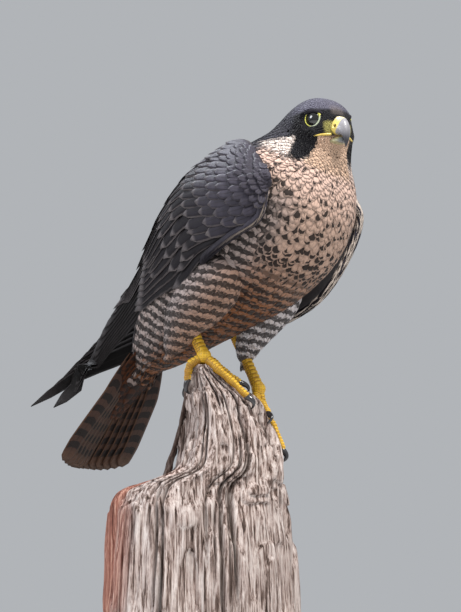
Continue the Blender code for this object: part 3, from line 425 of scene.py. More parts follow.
# x, y, z and radius down each thigh
THIGHS = {
    "right": np.array([
        (34, -38, 34, 20), (14, -43, 14, 25), (-6, -43, -4, 24), (-22, -39, -16, 19), (-32, -35, -28, 14),
        (-40, -33, -39, 9), (-43, -33, -45, 4),
    ]),
    "left": np.array([
        (36, 38, 34, 20), (22, 40, 12, 24), (12, 38, -4, 21), (5, 34, -18, 17), (0, 31, -30, 13),
        (-3, 30, -41, 9), (-4, 30, -48, 4),
    ]),
}
THIGH_END = 6.0
FACE_MIDDLE = np.array([119.0, -8.7, 145.2])
COAT_DEPTH = ((0, 3.2), (2, 4.6), (7, 4.4), (8.5, 3.4), (10.5, 2.2), (12, 1.4), (17, 0.7))
THIGH_DEPTH = 3.4
FORWARD = np.array([math.cos(math.radians(HEAD_TURN)), math.sin(math.radians(HEAD_TURN)), 0.0])
RIGHT, UP = np.array([FORWARD[1], -FORWARD[0], 0.0]), np.array([0.0, 0.0, 1.0])
EYE_PLACE, EYE_RADIUS, EYE_AHEAD = (6.8, 14.0, 0.0), 8.4, 27.0
ORBIT_FLOOR, ORBIT_NEAR, ORBIT_WIDE, ORBIT_SLOPE = 6.2, 7.5, 13.5, 1.13


def body_at(place, angle, grow=0.0):
    """A point of the body: place runs from the rump, 0, to the bill, 17; angle is 0 on the back.

    Each section is a squarish oval from the back's point to the breast's point, as wide as its
    half-width, larger by grow all round, and turned about the upright line through the head.
    """
    place, angle = np.broadcast_arrays(np.asarray(place, float), np.asarray(angle, float))
    back_x, back_z, breast_x, breast_z, half, turn = np.moveaxis(
        through(SECTIONS, np.clip(place, 0, FACE_END)), -1, 0
    )
    chord_x, chord_z = (breast_x - back_x) / 2, (breast_z - back_z) / 2
    reach = np.hypot(chord_x, chord_z)
    power = 2 / SQUARENESS
    down = -np.sign(np.cos(angle)) * np.abs(np.cos(angle)) ** power * (reach + grow) / reach
    y = -np.sign(np.sin(angle)) * np.abs(np.sin(angle)) ** power * (half + grow)
    x = (back_x + breast_x) / 2 + down * chord_x - HEAD_AT[0]
    z = (back_z + breast_z) / 2 + down * chord_z
    c, s = np.cos(np.radians(turn)), np.sin(np.radians(turn))
    spot = np.stack([HEAD_AT[0] + c * x - s * y, s * x + c * y, z], -1)
    beyond, ahead = np.minimum(place, 0)[..., None], np.clip(place - FACE_END, 0, 1)[..., None]
    spot = spot + 0.55 * ahead * (FACE_MIDDLE - spot) + 1.5 * ahead * FORWARD
    return spot + beyond * np.array([14.0, 0.0, 26.0])


def thigh_at(word):
    """The tube of one thigh as a function of its place down the leg, 0 to 6, and the angle round it."""
    def at(place, angle, grow=0.0):
        place, angle = np.broadcast_arrays(np.asarray(place, float), np.asarray(angle, float))
        rows = through(THIGHS[word], place)
        inner = np.clip(place, 0.05, THIGH_END - 0.05)
        along = unit(
            through(THIGHS[word], inner + 0.04)[..., :3] - through(THIGHS[word], inner - 0.04)[..., :3]
        )
        side = unit(np.cross(along, np.array([0.0, 1.0, 0.0])))
        top = np.cross(side, along)
        beyond = np.maximum(place - THIGH_END, 0)[..., None] * along * 10
        reach = (rows[..., 3] + grow)[..., None]
        return (
            rows[..., :3] + beyond
            + reach * (np.cos(angle)[..., None] * side + np.sin(angle)[..., None] * top)
        )
    return at


def on_head(forward, right, up):
    """A place in the head's own frame: forward, right and up from the middle between the eyes."""
    parts = (
        np.multiply.outer(np.asarray(n, float), axis)
        for n, axis in ((forward, FORWARD), (right, RIGHT), (up, UP))
    )
    return HEAD_AT + sum(parts)


def eye_axis(side):
    """The middle of one eye and the way it looks; side is 1 on the right."""
    ahead = math.radians(EYE_AHEAD)
    forward, right, up = EYE_PLACE
    return (
        on_head(forward, side * right, up), unit(math.sin(ahead) * FORWARD + side * math.cos(ahead) * RIGHT)
    )


def round_eyes(points, clear=0.0):
    """Sinks points near an eye into its conical orbit, and moves those over the eye out to its rim."""
    for side in (1, -1):
        middle, look = eye_axis(side)
        away = points - middle
        high = away @ look
        flat = away - high[..., None] * look
        wide = np.linalg.norm(flat, axis=-1)
        low = ORBIT_FLOOR + ORBIT_SLOPE * np.maximum(wide - ORBIT_NEAR, 0) + 20 * (wide > ORBIT_WIDE)
        low = np.where((high > 0) & (wide < ORBIT_WIDE), np.minimum(high, low), high)
        push = np.where((high > 0) & (wide < clear), clear - wide, 0)
        points = middle + low[..., None] * look + flat + unit(flat) * push[..., None]
    return points


def step(low, high, value):
    """0 below low and 1 above high, eased between."""
    t = np.clip((value - low) / (high - low), 0, 1)
    return t * t * (3 - 2 * t)


def mix(a, b, share):
    """One colour turning into another by a share for each place."""
    return np.asarray(a) * (1 - share[..., None]) + np.asarray(b) * share[..., None]


CROWN, NAPE, FACE_BLACK = (0.105, 0.100, 0.138), (0.042, 0.040, 0.053), (0.007, 0.0065, 0.009)
CHEEK, THROAT, FOREHEAD = (0.94, 0.80, 0.72), (0.74, 0.51, 0.37), (0.20, 0.165, 0.155)
LORE = (0.38, 0.34, 0.10)
# the belly and flank colours are painted darker than their own rufous buff and grey, as shade on the lower
# body
BREAST, MID_BREAST, BELLY_BUFF_SHADED = (0.66, 0.47, 0.39), (0.53, 0.36, 0.28), (0.20, 0.078, 0.032)
FLANK_SHADED, BACK = (0.36, 0.29, 0.27), (0.050, 0.047, 0.058)
TROUSER, FAR_TROUSER, TROUSER_REAR = (0.38, 0.31, 0.295), (0.66, 0.62, 0.64), (0.36, 0.17, 0.08)


# the angle from the back at which the dark back ends, by place
BACK_ENDS = (0, 5, 7.6, 9.2, 10.5), (0.9, 1.2, 1.28, 1.18, 1.15)


def head_frame(points):
    """How far points lie forward, right and up of the middle between the eyes."""
    away = points - HEAD_AT
    return away @ FORWARD, away @ RIGHT, away @ UP


def body_colour(place, angle, points):
    """The colour at a place of the body, by the bands of head and neck and the length of the breast."""
    forward, right, up = head_frame(points)
    round_head = np.degrees(np.arctan2(np.abs(right), forward))
    from_back = np.abs((angle + math.pi) % (2 * math.pi) - math.pi)
    # the darkening down to the belly and on the flanks is partly painted shade
    breast = mix(BELLY_BUFF_SHADED, MID_BREAST, step(3.4, 5.4, place))
    breast = mix(breast, BREAST, step(5.4, 7.2, place))
    breast = mix(breast, CHEEK, 0.75 * step(7.6, 9.6, place))
    side = step(1.9, 2.5, from_back)
    breast = mix(mix(FLANK_SHADED, breast, side), breast, step(5.4, 6.8, place))
    colour = mix(BACK, breast, step(-0.10, 0.10, from_back - np.interp(place, *BACK_ENDS)))
    slate = mix(FACE_BLACK, CROWN, step(4.5, 8.5, up - 0.10 * forward))
    slate = mix(slate, NAPE, step(0, 26, -forward) * step(-14, 4, up))
    slate = mix(slate, FOREHEAD, 0.4 * step(14, 19, forward) * step(2, 6, up) * step(9, 4, np.abs(right)))
    slate = mix(slate, LORE, 0.75 * step(18.4, 20.0, forward) * step(-16, -13, up) * step(-2.5, -5.5, up))
    black_back = step(112, 100, round_head)
    slate = mix(mix(NAPE, slate, np.maximum(black_back, step(3, 8, up))), slate, step(3, 8, up))
    cheek_front = np.interp(-up, (15, 28.7, 38, 46), (95, 91, 80, 70))
    cheek_back = np.interp(-up, (15.6, 28, 37, 46), (122, 108, 97, 94))
    cheek = (
        step(-2.5, 2.5, round_head - cheek_front) * step(-2.5, 2.5, cheek_back - round_head)
        * step(13.5, 16.5, -up)
    )
    near = step(-3, 3, right)
    throat = (
        step(2.5, -2.5, round_head - np.interp(-up, (17, 30, 40), (50, 60, 66)) * (0.78 + 0.22 * near))
        * step(15, 18.5, -up)
    )
    malar_half = np.interp(-up, (18, 28, 36, 43.5), (18, 16, 8.5, 0))
    malar = (
        step(-2.0, 2.0, malar_half - np.abs(round_head - 62 - 13 * near)) * step(44, 41, -up)
        * step(6, 12, -up)
    )
    neck_low = step(30, 44, -up) * step(1.1, 1.35, from_back)
    head = mix(slate, breast, neck_low)
    head = mix(head, THROAT, throat)
    head = mix(head, CHEEK, cheek)
    head = mix(head, FACE_BLACK, malar)
    return mix(colour, head, step(7.6, 8.3, place))


def toned_paint(name, share, noise, stops, bump_noise, bump, **sockets):
    """A material in the tone that the piece holds at its points, multiplied by a noisy ramp, with bump."""
    made, tree, shader = finish(name, **sockets)
    worn = blended(
        tree, share, painted(tree, "tone"), ramp(tree, object_noise(tree, *noise), stops), "MULTIPLY"
    )
    tree.links.new(worn, shader.inputs["Base Color"])
    bumped(tree, shader, object_noise(tree, *bump_noise), *bump)
    return made, shader


DOWN_NOISE, DOWN_STOPS = (900, 4), ((0.3, (0.45, 0.42, 0.40)), (0.7, (1, 1, 1)))
skin_paint, _ = toned_paint("downy_skin", 0.6, DOWN_NOISE, DOWN_STOPS, DOWN_NOISE, (0.7, 0.0008),
                            Roughness=0.85, Specular_IOR_Level=0.2)
SKIN_ROWS, SKIN_SIDES, THIGH_ROWS, THIGH_SIDES = 150, 96, 40, 40


def skin_shell(surface, places, sides, depth):
    """Place, angle and point of a surface sunk by a depth, on rings at those places."""
    turns = np.linspace(0, 2 * math.pi, sides, endpoint=False)
    place, turn = np.meshgrid(places, turns, indexing="ij")
    spots = surface(place, turn, -depth(place))
    return place, turn, spots


place, turn, spots = skin_shell(
    body_at, np.linspace(0, FACE_END, SKIN_ROWS), SKIN_SIDES, lambda p: np.interp(p, *zip(*COAT_DEPTH))
)
spots = round_eyes(spots)
skin = shell(
    "body_skin", spots, skin_paint, "breast_feather", ("torso", "neck", "head", "thigh_right", "thigh_left"),
    tone=body_colour(place, turn, spots)
)
for word in THIGHS:
    _, _, spots = skin_shell(
        thigh_at(word), np.linspace(0, THIGH_END, THIGH_ROWS), THIGH_SIDES,
        lambda p: THIGH_DEPTH * (1 - p / 12)
    )
    thigh = shell(f"thigh_skin_{word}", spots, skin_paint, "breast_feather", tone=TROUSER)
    joined = skin.modifiers.new("thigh", "BOOLEAN")
    joined.operation, joined.object, joined.solver = "UNION", thigh, "EXACT"
    bpy.context.view_layer.update()
    whole = bpy.data.meshes.new_from_object(skin.evaluated_get(bpy.context.evaluated_depsgraph_get()))
    skin.modifiers.clear()
    skin.data = whole
    bpy.data.objects.remove(thigh, do_unlink=True)
skin.data.shade_smooth()


# The contour feathers of breast, belly, flanks, neck and head: small curved vanes with soft tips, which
# shingle from the bill towards the tail and down the legs. Each is a thin closed sheet of its own.
GOLDEN = 1.3247179572


def vane_faces(rows, cols):
    """Faces of one closed sheet: a grid of rows by cols on top, and one under it that shares its rim."""
    top = np.arange(rows * cols).reshape(rows, cols)
    under = top.copy()
    under[1:-1, 1:-1] = rows * cols + np.arange((rows - 2) * (cols - 2)).reshape(rows - 2, cols - 2)
    sheets = []
    for sheet, order in ((top, (0, 1, 2, 3)), (under, (3, 2, 1, 0))):
        corners = np.stack([sheet[:-1, :-1], sheet[1:, :-1], sheet[1:, 1:], sheet[:-1, 1:]], -1)
        sheets.append(corners.reshape(-1, 4)[:, order])
    return np.vstack(sheets)


def feathers(name, path, up, half, outline, cols, cup, roll, thick, tone, edge, mark, bake, paint,
             replaced=(), shape=None, bar_axis=None):
    """A piece of many vanes. path and up are (vanes, rows, 3): each middle line and the side that shows.

    A point at share u of the half-width lies half * outline * u from the middle line, raised by
    roll * u - cup * u * u of the half-width. The under sheet lies thick below it in the middle.
    edge is the rim's colour and strength; mark is the size of the drop, the bars' strength and count.
    """
    count, rows = path.shape[:2]
    u, v = np.linspace(-1, 1, cols), np.linspace(0, 1, rows)
    along = unit(np.gradient(path, axis=1))
    side = unit(np.cross(up, along))
    top = np.cross(along, side)
    wide = np.reshape(half, (-1, 1)) * outline
    across = wide[..., None] * u
    rise = across * np.reshape(roll, (-1, 1, 1)) - np.reshape(cup, (-1, 1, 1)) * wide[..., None] * u**2
    sheet = path[:, :, None] + side[:, :, None] * across[..., None] + top[:, :, None] * rise[..., None]
    body = np.sin(math.pi * v)[1:-1, None] ** 0.5 * (1 - u[1:-1] ** 2)
    under = sheet[:, 1:-1, 1:-1] - top[:, 1:-1, None] * (np.reshape(thick, (-1, 1, 1)) * body)[..., None]
    points = np.concatenate([sheet.reshape(count, -1, 3), under.reshape(count, -1, 3)], 1)
    if shape is not None:
        points = shape(points)
    per = points.shape[1]
    grid_u, grid_v = np.meshgrid(u, v)
    here = np.stack([grid_u, grid_v], -1)
    here = np.concatenate([here.reshape(-1, 2), here[1:-1, 1:-1].reshape(-1, 2)])
    quads = (vane_faces(rows, cols) + (np.arange(count) * per)[:, None, None]).reshape(-1, 4)
    vane_map = np.tile(here * (0.5, 1.0) + (0.5, 0.0), (count, 1))
    cell = np.asarray(bake, float)
    bake_map = cell[:, None, :2] + cell[:, None, 2:] * (here * (0.5, 0.98) + (0.5, 0.01))
    spread = {"tone": np.c_[tone, np.ones(count)], "edge": edge, "mark": mark}
    fields = {word: np.repeat(np.asarray(values, float), per, 0) for word, values in spread.items()}
    cycles = fields["mark"][:, 2]
    straight = points.reshape(-1, 3) @ (np.zeros(3) if bar_axis is None else bar_axis)
    fields["mark"][:, 2] = cycles * np.tile(here[:, 1], count) if bar_axis is None else cycles + straight
    return piece(name, points.reshape(-1, 3), quads, (), paint, replaced, fields,
                 {"OFBake": bake_map.reshape(-1, 2), "Vane": vane_map})


def surface_frame(surface, place, angle):
    """The point, the outward normal, and the length of one unit of place and of angle."""
    spot = surface(place, angle)
    lengthwise = (surface(place - 0.03, angle) - surface(place + 0.03, angle)) / 0.06
    crosswise = (surface(place, angle + 0.02) - surface(place, angle - 0.02)) / 0.04
    normal = unit(np.cross(lengthwise, crosswise))
    return spot, normal, np.linalg.norm(lengthwise, axis=-1), np.linalg.norm(crosswise, axis=-1)


def scattered(surface, places, angles, gap):
    """Roots spread evenly over a surface, gap(place, angle) millimetres apart, without chance.

    The n-th point of the plane's golden sequence is carried through the inverse of the wanted
    number of feathers, summed first along the places and then round each one.
    """
    p = np.linspace(*places, 240)
    a = np.linspace(*angles, 180)
    place, angle = np.meshgrid(p, a, indexing="ij")
    _, _, long, wide = surface_frame(surface, place, angle)
    share = long * wide / gap(place, angle) ** 2
    total = share.sum() * (p[1] - p[0]) * (a[1] - a[0])
    count = int(total)
    n = np.arange(1, count + 1)
    first, second = (0.5 + n / GOLDEN) % 1.0, (0.5 + n / GOLDEN**2) % 1.0
    along = np.cumsum(share.sum(1))
    place = np.interp(first * along[-1], along, p)
    row = np.clip(((place - p[0]) / (p[1] - p[0])).astype(int), 0, len(p) - 1)
    around = np.cumsum(share, 1)[row]
    around = around / around[:, -1:]
    hit = np.clip((around < second[:, None]).sum(1), 1, len(a) - 1)
    low, high = around[n - 1, hit - 1], around[n - 1, hit]
    angle = a[hit - 1] + (a[1] - a[0]) * (second - low) / np.maximum(high - low, 1e-9)
    return place, angle


def laid(surface, place, angle, length, rows, heading, swerve=0.0):
    """Middle lines that follow the surface for length from each root, towards heading, and its normals."""
    spots, normals = [], []
    stride = length / (rows - 1)
    for _ in range(rows):
        spot, normal, long, wide = surface_frame(surface, place, angle)
        spots.append(spot)
        normals.append(normal)
        place = place + heading * stride * np.cos(swerve) / long
        angle = angle + stride * np.sin(swerve) / wide
    return np.stack(spots, 1), np.stack(normals, 1)


def hashed(count, seed, width):
    """Seeded random numbers from -1 to 1."""
    return np.random.default_rng(seed).uniform(-1, 1, (count, width))


def columns(*values):
    """Values of each feather side by side, where one number may stand for all feathers."""
    return np.stack(np.broadcast_arrays(*values), -1)


def stacked(parts):
    """Rows of feathers as one: the first value of every row joined, then the second, and so on."""
    return [np.concatenate(values) for values in zip(*parts)]


STRAND_STOPS = (0.30, (0.42, 0.40, 0.40)), (0.52, (0.80, 0.80, 0.80)), (0.70, (1, 1, 1))
MARK_BLACK, SHAFT_BROWN = (0.011, 0.009, 0.009, 1), (0.02, 0.017, 0.016, 1)


def feather_paint(name, gloss, barbs, sheen, shaft_dark):
    """Feather: its own tone with fibres, then drops or bars, a fringe, a shaft and ribs of barbs."""
    made, tree, shader = finish(
        name, Roughness=gloss, Specular_IOR_Level=0.15, Sheen_Weight=sheen, Sheen_Roughness=0.4
    )
    split = node(tree, "SeparateXYZ", {"Vector": node(tree, "UVMap", uv_map="Vane").outputs["UV"]})
    mark = node(tree, "SeparateXYZ", {"Vector": painted(tree, "mark", "Vector")})

    def calc(operation, *values):
        return node(tree, "Math", dict(enumerate(values)), operation=operation).outputs[0]

    def eased(value, low, high):
        limits = {"Value": value, "From Min": low, "From Max": high}
        return node(tree, "MapRange", limits, interpolation_type="SMOOTHSTEP").outputs[0]

    across = calc("ABSOLUTE", calc("MULTIPLY_ADD", split.outputs["X"], 2.0, -1.0))
    down = split.outputs["Y"]
    fibre = object_noise(tree, 1500, 3)
    cloud = object_noise(tree, 120, 3)
    wobble = calc("MULTIPLY_ADD", cloud, 0.5, -0.25)
    strands = ramp(tree, calc("MULTIPLY_ADD", fibre, 0.6, calc("MULTIPLY", cloud, 0.4)), STRAND_STOPS)
    lively = blended(tree, 0.28, painted(tree, "tone"), strands, "MULTIPLY")
    drop_wide = calc("MULTIPLY", mark.outputs["X"], eased(down, 0.34, 0.74))
    drop_in = calc("SUBTRACT", drop_wide, calc("ADD", across, calc("MULTIPLY", wobble, 0.5)))
    drop_end = eased(calc("ADD", down, calc("MULTIPLY", across, 0.10)), 0.97, 0.90)
    drop = calc("MULTIPLY", eased(drop_in, -0.06, 0.06), drop_end)
    chevron = calc("SUBTRACT", mark.outputs["Z"], calc("MULTIPLY", calc("POWER", across, 2.0), 0.22))
    ripple = calc("SINE", calc("MULTIPLY", calc("ADD", chevron, calc("MULTIPLY", wobble, 0.8)), 2 * math.pi))
    bars = calc("MULTIPLY", eased(ripple, -0.30, 0.0), mark.outputs["Y"])
    dark = calc("MULTIPLY", calc("MAXIMUM", drop, bars), 0.95)
    marked = blended(tree, dark, lively, MARK_BLACK)
    rim = calc(
        "MAXIMUM", eased(calc("ADD", across, calc("MULTIPLY", wobble, 0.5)), 0.70, 0.92),
        eased(down, 0.86, 0.95)
    )
    edge = node(tree, "Attribute", attribute_name="edge")
    fringed = blended(tree, calc("MULTIPLY", rim, edge.outputs["Alpha"]), marked, edge.outputs["Color"])
    shaft = calc("MULTIPLY", eased(across, 0.07, 0.03), shaft_dark)
    tree.links.new(blended(tree, shaft, fringed, SHAFT_BROWN), shader.inputs["Base Color"])
    ribs = calc(
        "SINE", calc("MULTIPLY", calc("SUBTRACT", down, calc("MULTIPLY", across, 0.35)), barbs * 2 * math.pi)
    )
    bumped(tree, shader, calc("MULTIPLY_ADD", ribs, 0.25, fibre), 0.20, 0.0005)
    return made


BELLY_BARS, THIGH_BARS = np.array([-0.062, 0.0, -0.106]), np.array([-0.030, 0.0, -0.118])


# by place: millimetres from drop to drop, and a drop's size as a share of the vane's half-width
DROP_GAPS = (2, 4.5, 5.5, 6.5, 8.0, 9.0), (6.0, 6.6, 8.0, 9.2, 10.5, 12.0)
DROP_SIZES = (2, 4.2, 5.2, 6.2, 7.2, 8.2, 8.9), (1.1, 1.1, 0.90, 0.60, 0.46, 0.38, 0.32)
DROPS_FROM, DROPS_TO, DROP_REACH = 2.0, 8.9, 6.0


def mark_gap(place, angle):
    return np.interp(place, *DROP_GAPS) + 0 * angle


def body_marks(place, angle, root, seed):
    """Drop size, strength of the bars and their shift: drops on every few feathers, then dense bars."""
    from_breast = np.abs(angle - math.pi)
    chance = hashed(len(place), seed, 3)
    spot_place, spot_angle = scattered(body_at, (DROPS_FROM, DROPS_TO), (0, 2 * math.pi), mark_gap)
    gaps = np.linalg.norm(body_at(spot_place, spot_angle)[:, None] - root[None], axis=-1)
    chosen = np.zeros(len(place))
    chosen[gaps.argmin(1)[gaps.min(1) < DROP_REACH]] = 1.0
    side = step(0.75, 1.15, from_breast)
    drop = np.interp(place, *DROP_SIZES) * (1 + 0.8 * side) * (0.9 + 0.25 * chance[:, 0]) * chosen
    barred = np.clip(step(4.9, 4.0, place) + step(0.85, 1.15, from_breast) * step(6.2, 5.4, place), 0, 1)
    on_back = step(0.1, -0.1, (math.pi - from_breast) - np.interp(place, *BACK_ENDS))
    drop, barred = drop * (1 - barred) * (1 - on_back) * (place < DROPS_TO), barred * (1 - on_back)
    return columns(drop, barred * 0.96, 0.14 * chance[:, 2])


FEATHER_GAPS = (0, 4, 6, 7.5, 9.0, 10.2, 12, 17), (6.2, 5.8, 4.8, 3.7, 2.6, 2.0, 1.6, 1.1)
THIGH_GAPS = (0, 4, 6), (5.0, 3.8, 2.4)
EYE_CLEAR, EYE_RIM = 7.9, 7.5


def body_feather_gap(place, angle):
    """Millimetres from feather to feather, half as wide again on the back, which the wings cover."""
    return np.interp(place, *FEATHER_GAPS) * (1 + 0.5 * (np.abs(angle - math.pi) > 2.35) * (place < 6.5))


def soft_outline(v):
    """Half-width down a small contour feather, widest near its middle and round at the tip."""
    return np.sqrt(np.clip(1 - ((v - 0.45) / 0.58) ** 2, 0.02, 1))


soft_vane = feather_paint("soft_contour_feather", 0.75, 16, 0.06, 0.10)


def body_plumage(name, places, rows, cols, grow_lines, slot, seed):
    """Contour feathers over one stretch of the body. grow_lines is their length and half-width in gaps."""
    place, angle = scattered(body_at, places, (0, 2 * math.pi), body_feather_gap)
    root = body_at(place, angle)
    keep = np.ones(len(place), bool)
    for side in (1, -1):
        middle, look = eye_axis(side)
        away = root - middle
        high = away @ look
        keep &= ~((high > 0) & (np.linalg.norm(away - high[:, None] * look, axis=1) < EYE_CLEAR))
    place, angle, root = place[keep], angle[keep], root[keep]
    chance = hashed(len(place), seed, 4)
    gap = body_feather_gap(place, angle)
    length = gap * grow_lines[0] * (1 + 0.12 * chance[:, 0])
    swerve = 0.16 * chance[:, 1]
    path, up = laid(body_at, place, angle, length, rows, -1.0, swerve)
    depth = np.interp(place, *zip(*COAT_DEPTH))
    v = np.linspace(0, 1, rows)
    lift = (
        -depth[:, None] * ((1 - v) ** 4 + 0.10 * (1 - v)) + (0.01 * depth * chance[:, 2])[:, None] * v
        - 0.06 * depth[:, None]
    )
    path = path + up * lift[..., None]
    tip_place = place - 0.8 * length / surface_frame(body_at, place, angle)[2]
    shown = body_at(tip_place, angle)
    tone = body_colour(tip_place, angle, shown) * (1 + 0.06 * chance[:, 3:4])
    mark = body_marks(tip_place, angle, shown, seed + 1)
    edge = np.c_[np.clip(tone * 1.12 + 0.01, 0, 0.95), np.full(len(place), 0.06)]
    dusky = (tone.mean(1) < 0.15)[:, None]
    edge = np.where(dusky & (chance[:, 3:4] > 0.1), np.c_[tone * 1.7 + 0.008, np.full(len(place), 0.7)], edge)
    bake = np.c_[
        angle / (2 * math.pi) * 0.98, np.clip(place / FACE_END, 0, 1) * 0.98, np.full((len(place), 2), 0.003)
    ]
    feathers(
        name, path, up, gap * grow_lines[1], soft_outline(v), cols, 0.06, 0.02 * chance[:, 1],
        depth * 0.06 + 0.10, tone, edge, mark, bake, soft_vane, shape=lambda p: round_eyes(p, EYE_RIM),
        bar_axis=BELLY_BARS
    )


# places from and to, rows and columns of a vane, length and half-width in gaps, seed
for region, (*settings, seed) in {
    "belly": ((0.0, 4.9), 6, 5, (2.9, 0.98), "breast_feather", 101),
    "breast": ((4.9, 8.2), 6, 5, (3.0, 0.98), "breast_feather", 111),
    "neck": ((8.2, 11.2), 5, 3, (3.1, 0.95), "breast_feather", 121),
    "head": ((11.2, 17.75), 5, 3, (3.0, 0.85), "hood_feather", 131),
}.items():
    body_plumage(f"{region}_feathers", *settings, seed)


def thigh_plumage(word, seed, white, rufous, corner):
    """Long loose feathers down one thigh, which end in a cuff at the ankle.

    white is their colour, rufous how much browner the rear is, corner where their texture map starts.
    """
    surface = thigh_at(word)
    place, angle = scattered(surface, (0.2, 5.9), (0, 2 * math.pi), lambda p, a: np.interp(p, *THIGH_GAPS))
    chance = hashed(len(place), seed, 5)
    gap = np.interp(place, *THIGH_GAPS)
    length = gap * (3.2 + 0.4 * chance[:, 0])
    v = np.linspace(0, 1, 6)
    path, up = laid(surface, place, angle, length, len(v), 1.0, 0.14 * chance[:, 1])
    outside = np.sign(((path[:, 0] - through(THIGHS[word], place)[:, :3]) * up[:, 0]).sum(-1))
    up = up * outside[:, None, None]
    lift = -THIGH_DEPTH * ((1 - v) ** 2.4 + 0.1 * (1 - v)) + (0.2 * chance[:, 2])[:, None] * v - 0.2
    path = path + up * lift[..., None]
    rear = step(-0.3, 0.9, np.cos(angle))
    tone = mix(white, TROUSER_REAR, rufous * rear) * (1 + 0.12 * chance[:, 3:4])
    mark = columns(0, 0.93, 0.13 * chance[:, 4])
    edge = np.c_[np.clip(tone * 1.2, 0, 0.9), np.full(len(place), 0.12)]
    bake = np.c_[
        corner + angle / (2 * math.pi) * 0.48, place / THIGH_END * 0.98, np.full((len(place), 2), 0.003)
    ]
    feathers(
        f"thigh_feathers_{word}", path, up, gap * 0.95, soft_outline(v), 5, 0.12, 0.05 * chance[:, 1], 0.5,
        tone, edge, mark, bake, soft_vane, bar_axis=THIGH_BARS
    )


thigh_plumage("right", 151, TROUSER, 0.6, 0.0)
thigh_plumage("left", 161, FAR_TROUSER, 0.1, 0.5)


# The eyes: glossy dark globes under a bare, thin eyelid ring, yellow-green at the back and a pale
# bluish grey in front, set in the orbit under a heavy brow.
RING_OUT, RING_WIDE, RING_THICK = 5.6, 7.3, 0.85
EYE_ROWS, EYE_SIDES = 40, 64
IRIS_STOPS = (
    (0.0, (0.003, 0.003, 0.004)), (0.80, (0.004, 0.003, 0.003)), (0.90, (0.012, 0.006, 0.004)),
    (1.0, (0.008, 0.004, 0.003)),
)
LID_YELLOW, LID_BLUE, LID_BLACK = (0.60, 0.58, 0.09), (0.46, 0.52, 0.46), (0.05, 0.045, 0.05)
BROW_REACH, BROW_OUT, BROW_THICK, BROW_TONE = 10.0, 5.6, 1.5, (0.022, 0.020, 0.028)


def sweep(centre, turn_axis, other_axis, out_axis, ring_radius, thick, rows, sides):
    """A ring of round section: a small circle carried round a large one."""
    turns = (np.linspace(0, 2 * math.pi, count, endpoint=False) for count in (rows, sides))
    large, small = np.meshgrid(*turns, indexing="ij")
    out = np.cos(large)[..., None] * turn_axis + np.sin(large)[..., None] * other_axis
    reach = (ring_radius + thick * np.cos(small))[..., None]
    return large, centre + out * reach + out_axis * (thick * np.sin(small))[..., None]


def ball_rings(rows, sides, hole):
    """The angles from the pole and round it, and points of a ball of radius 1 with a hole at each pole."""
    turns = np.linspace(0, 2 * math.pi, sides, endpoint=False)
    polar, turn = np.meshgrid(np.linspace(hole, math.pi - hole, rows), turns, indexing="ij")
    return (
        polar, turn, np.stack([np.sin(polar) * np.cos(turn), np.sin(polar) * np.sin(turn), np.cos(polar)], -1)
    )


def tube(path, radii, sides, up=(0.2, 0.4, 1.0), flat=1.0):
    """Rings of a tube along a path; radii is (rows, sides) or (rows, 1)."""
    along = unit(np.gradient(path, axis=0))
    side = unit(np.cross(along, np.array(up, float)))
    top = np.cross(side, along)
    turn = np.linspace(0, 2 * math.pi, sides, endpoint=False)
    c, s = np.cos(turn)[None, :, None], np.sin(turn)[None, :, None]
    return path[:, None] + radii[..., None] * (c * side[:, None] + flat * s * top[:, None])


globe_paint, tree, shader = finish(
    "dark_eye_globe", Roughness=0.04, Specular_IOR_Level=0.6, Coat_Weight=1.0, Coat_Roughness=0.02
)
tree.links.new(ramp(tree, painted(tree, "iris", "Fac"), IRIS_STOPS), shader.inputs["Base Color"])
lid_paint, tree, shader = finish("bare_eyelid", Roughness=0.5, Specular_IOR_Level=0.35)
tree.links.new(painted(tree, "tone"), shader.inputs["Base Color"])
bumped(tree, shader, object_noise(tree, 1800), 0.4, 0.0004)
for side, word in ((1, "right"), (-1, "left")):
    middle, look = eye_axis(side)
    level = unit(np.cross(look, UP))
    rise = np.cross(level, look)
    polar, turn, globe = ball_rings(EYE_ROWS, EYE_SIDES, 0.02)
    iris = np.clip(np.concatenate([(polar / 0.95).reshape(-1), [0, 1]]), 0, 1)
    shell(
        f"eye_globe_{word}", middle + EYE_RADIUS * (globe @ np.array([level, rise, look])), globe_paint,
        "eye", (f"eye_{word}",), iris=iris
    )
    large, ring = sweep(middle + look * RING_OUT, level, rise, look, RING_WIDE, RING_THICK, 72, 14)
    towards_bill = (ring - middle) @ FORWARD / RING_WIDE
    low = -(ring - middle) @ UP / RING_WIDE
    swell = 1 + 0.55 * step(0.3, 1.0, np.abs(towards_bill)) + 0.1 * step(0.3, 1.0, towards_bill)
    centre = (
        middle + look * RING_OUT
        + (np.cos(large)[..., None] * level + np.sin(large)[..., None] * rise) * RING_WIDE
    )
    ring = centre + (ring - centre) * swell[..., None]
    tone = mix(LID_YELLOW, LID_BLUE, 0.8 * step(0.5, 0.95, towards_bill * 0.6 + low * 0.7))
    tone = mix(tone, LID_BLACK, 0.85 * step(0.35, 0.85, -low))
    rows, sides = ring.shape[:2]
    faces = grid_faces(rows + 1, sides) % (rows * sides)
    tone = np.c_[tone.reshape(-1, 3), np.ones(rows * sides)]
    piece(f"eyelid_{word}", ring.reshape(-1, 3), faces, (), lid_paint, (), {"tone": tone})
    rearward = unit(look * (FORWARD @ look) - FORWARD)
    b = np.linspace(-BROW_REACH, BROW_REACH, 60)
    arch = 1 - (b / BROW_REACH) ** 2
    brow = (
        middle + np.outer(b, rearward) + np.outer(3.5 + 3.2 * arch + 0.07 * b, rise)
        + np.outer(BROW_OUT + 0.8 * arch, look)
    )
    ring = tube(brow, (BROW_THICK * np.clip(arch, 0.01, 1) ** 0.4)[:, None], 20, flat=1.3)
    shell(f"brow_{word}", ring, skin_paint, "hood_feather", tone=BROW_TONE)
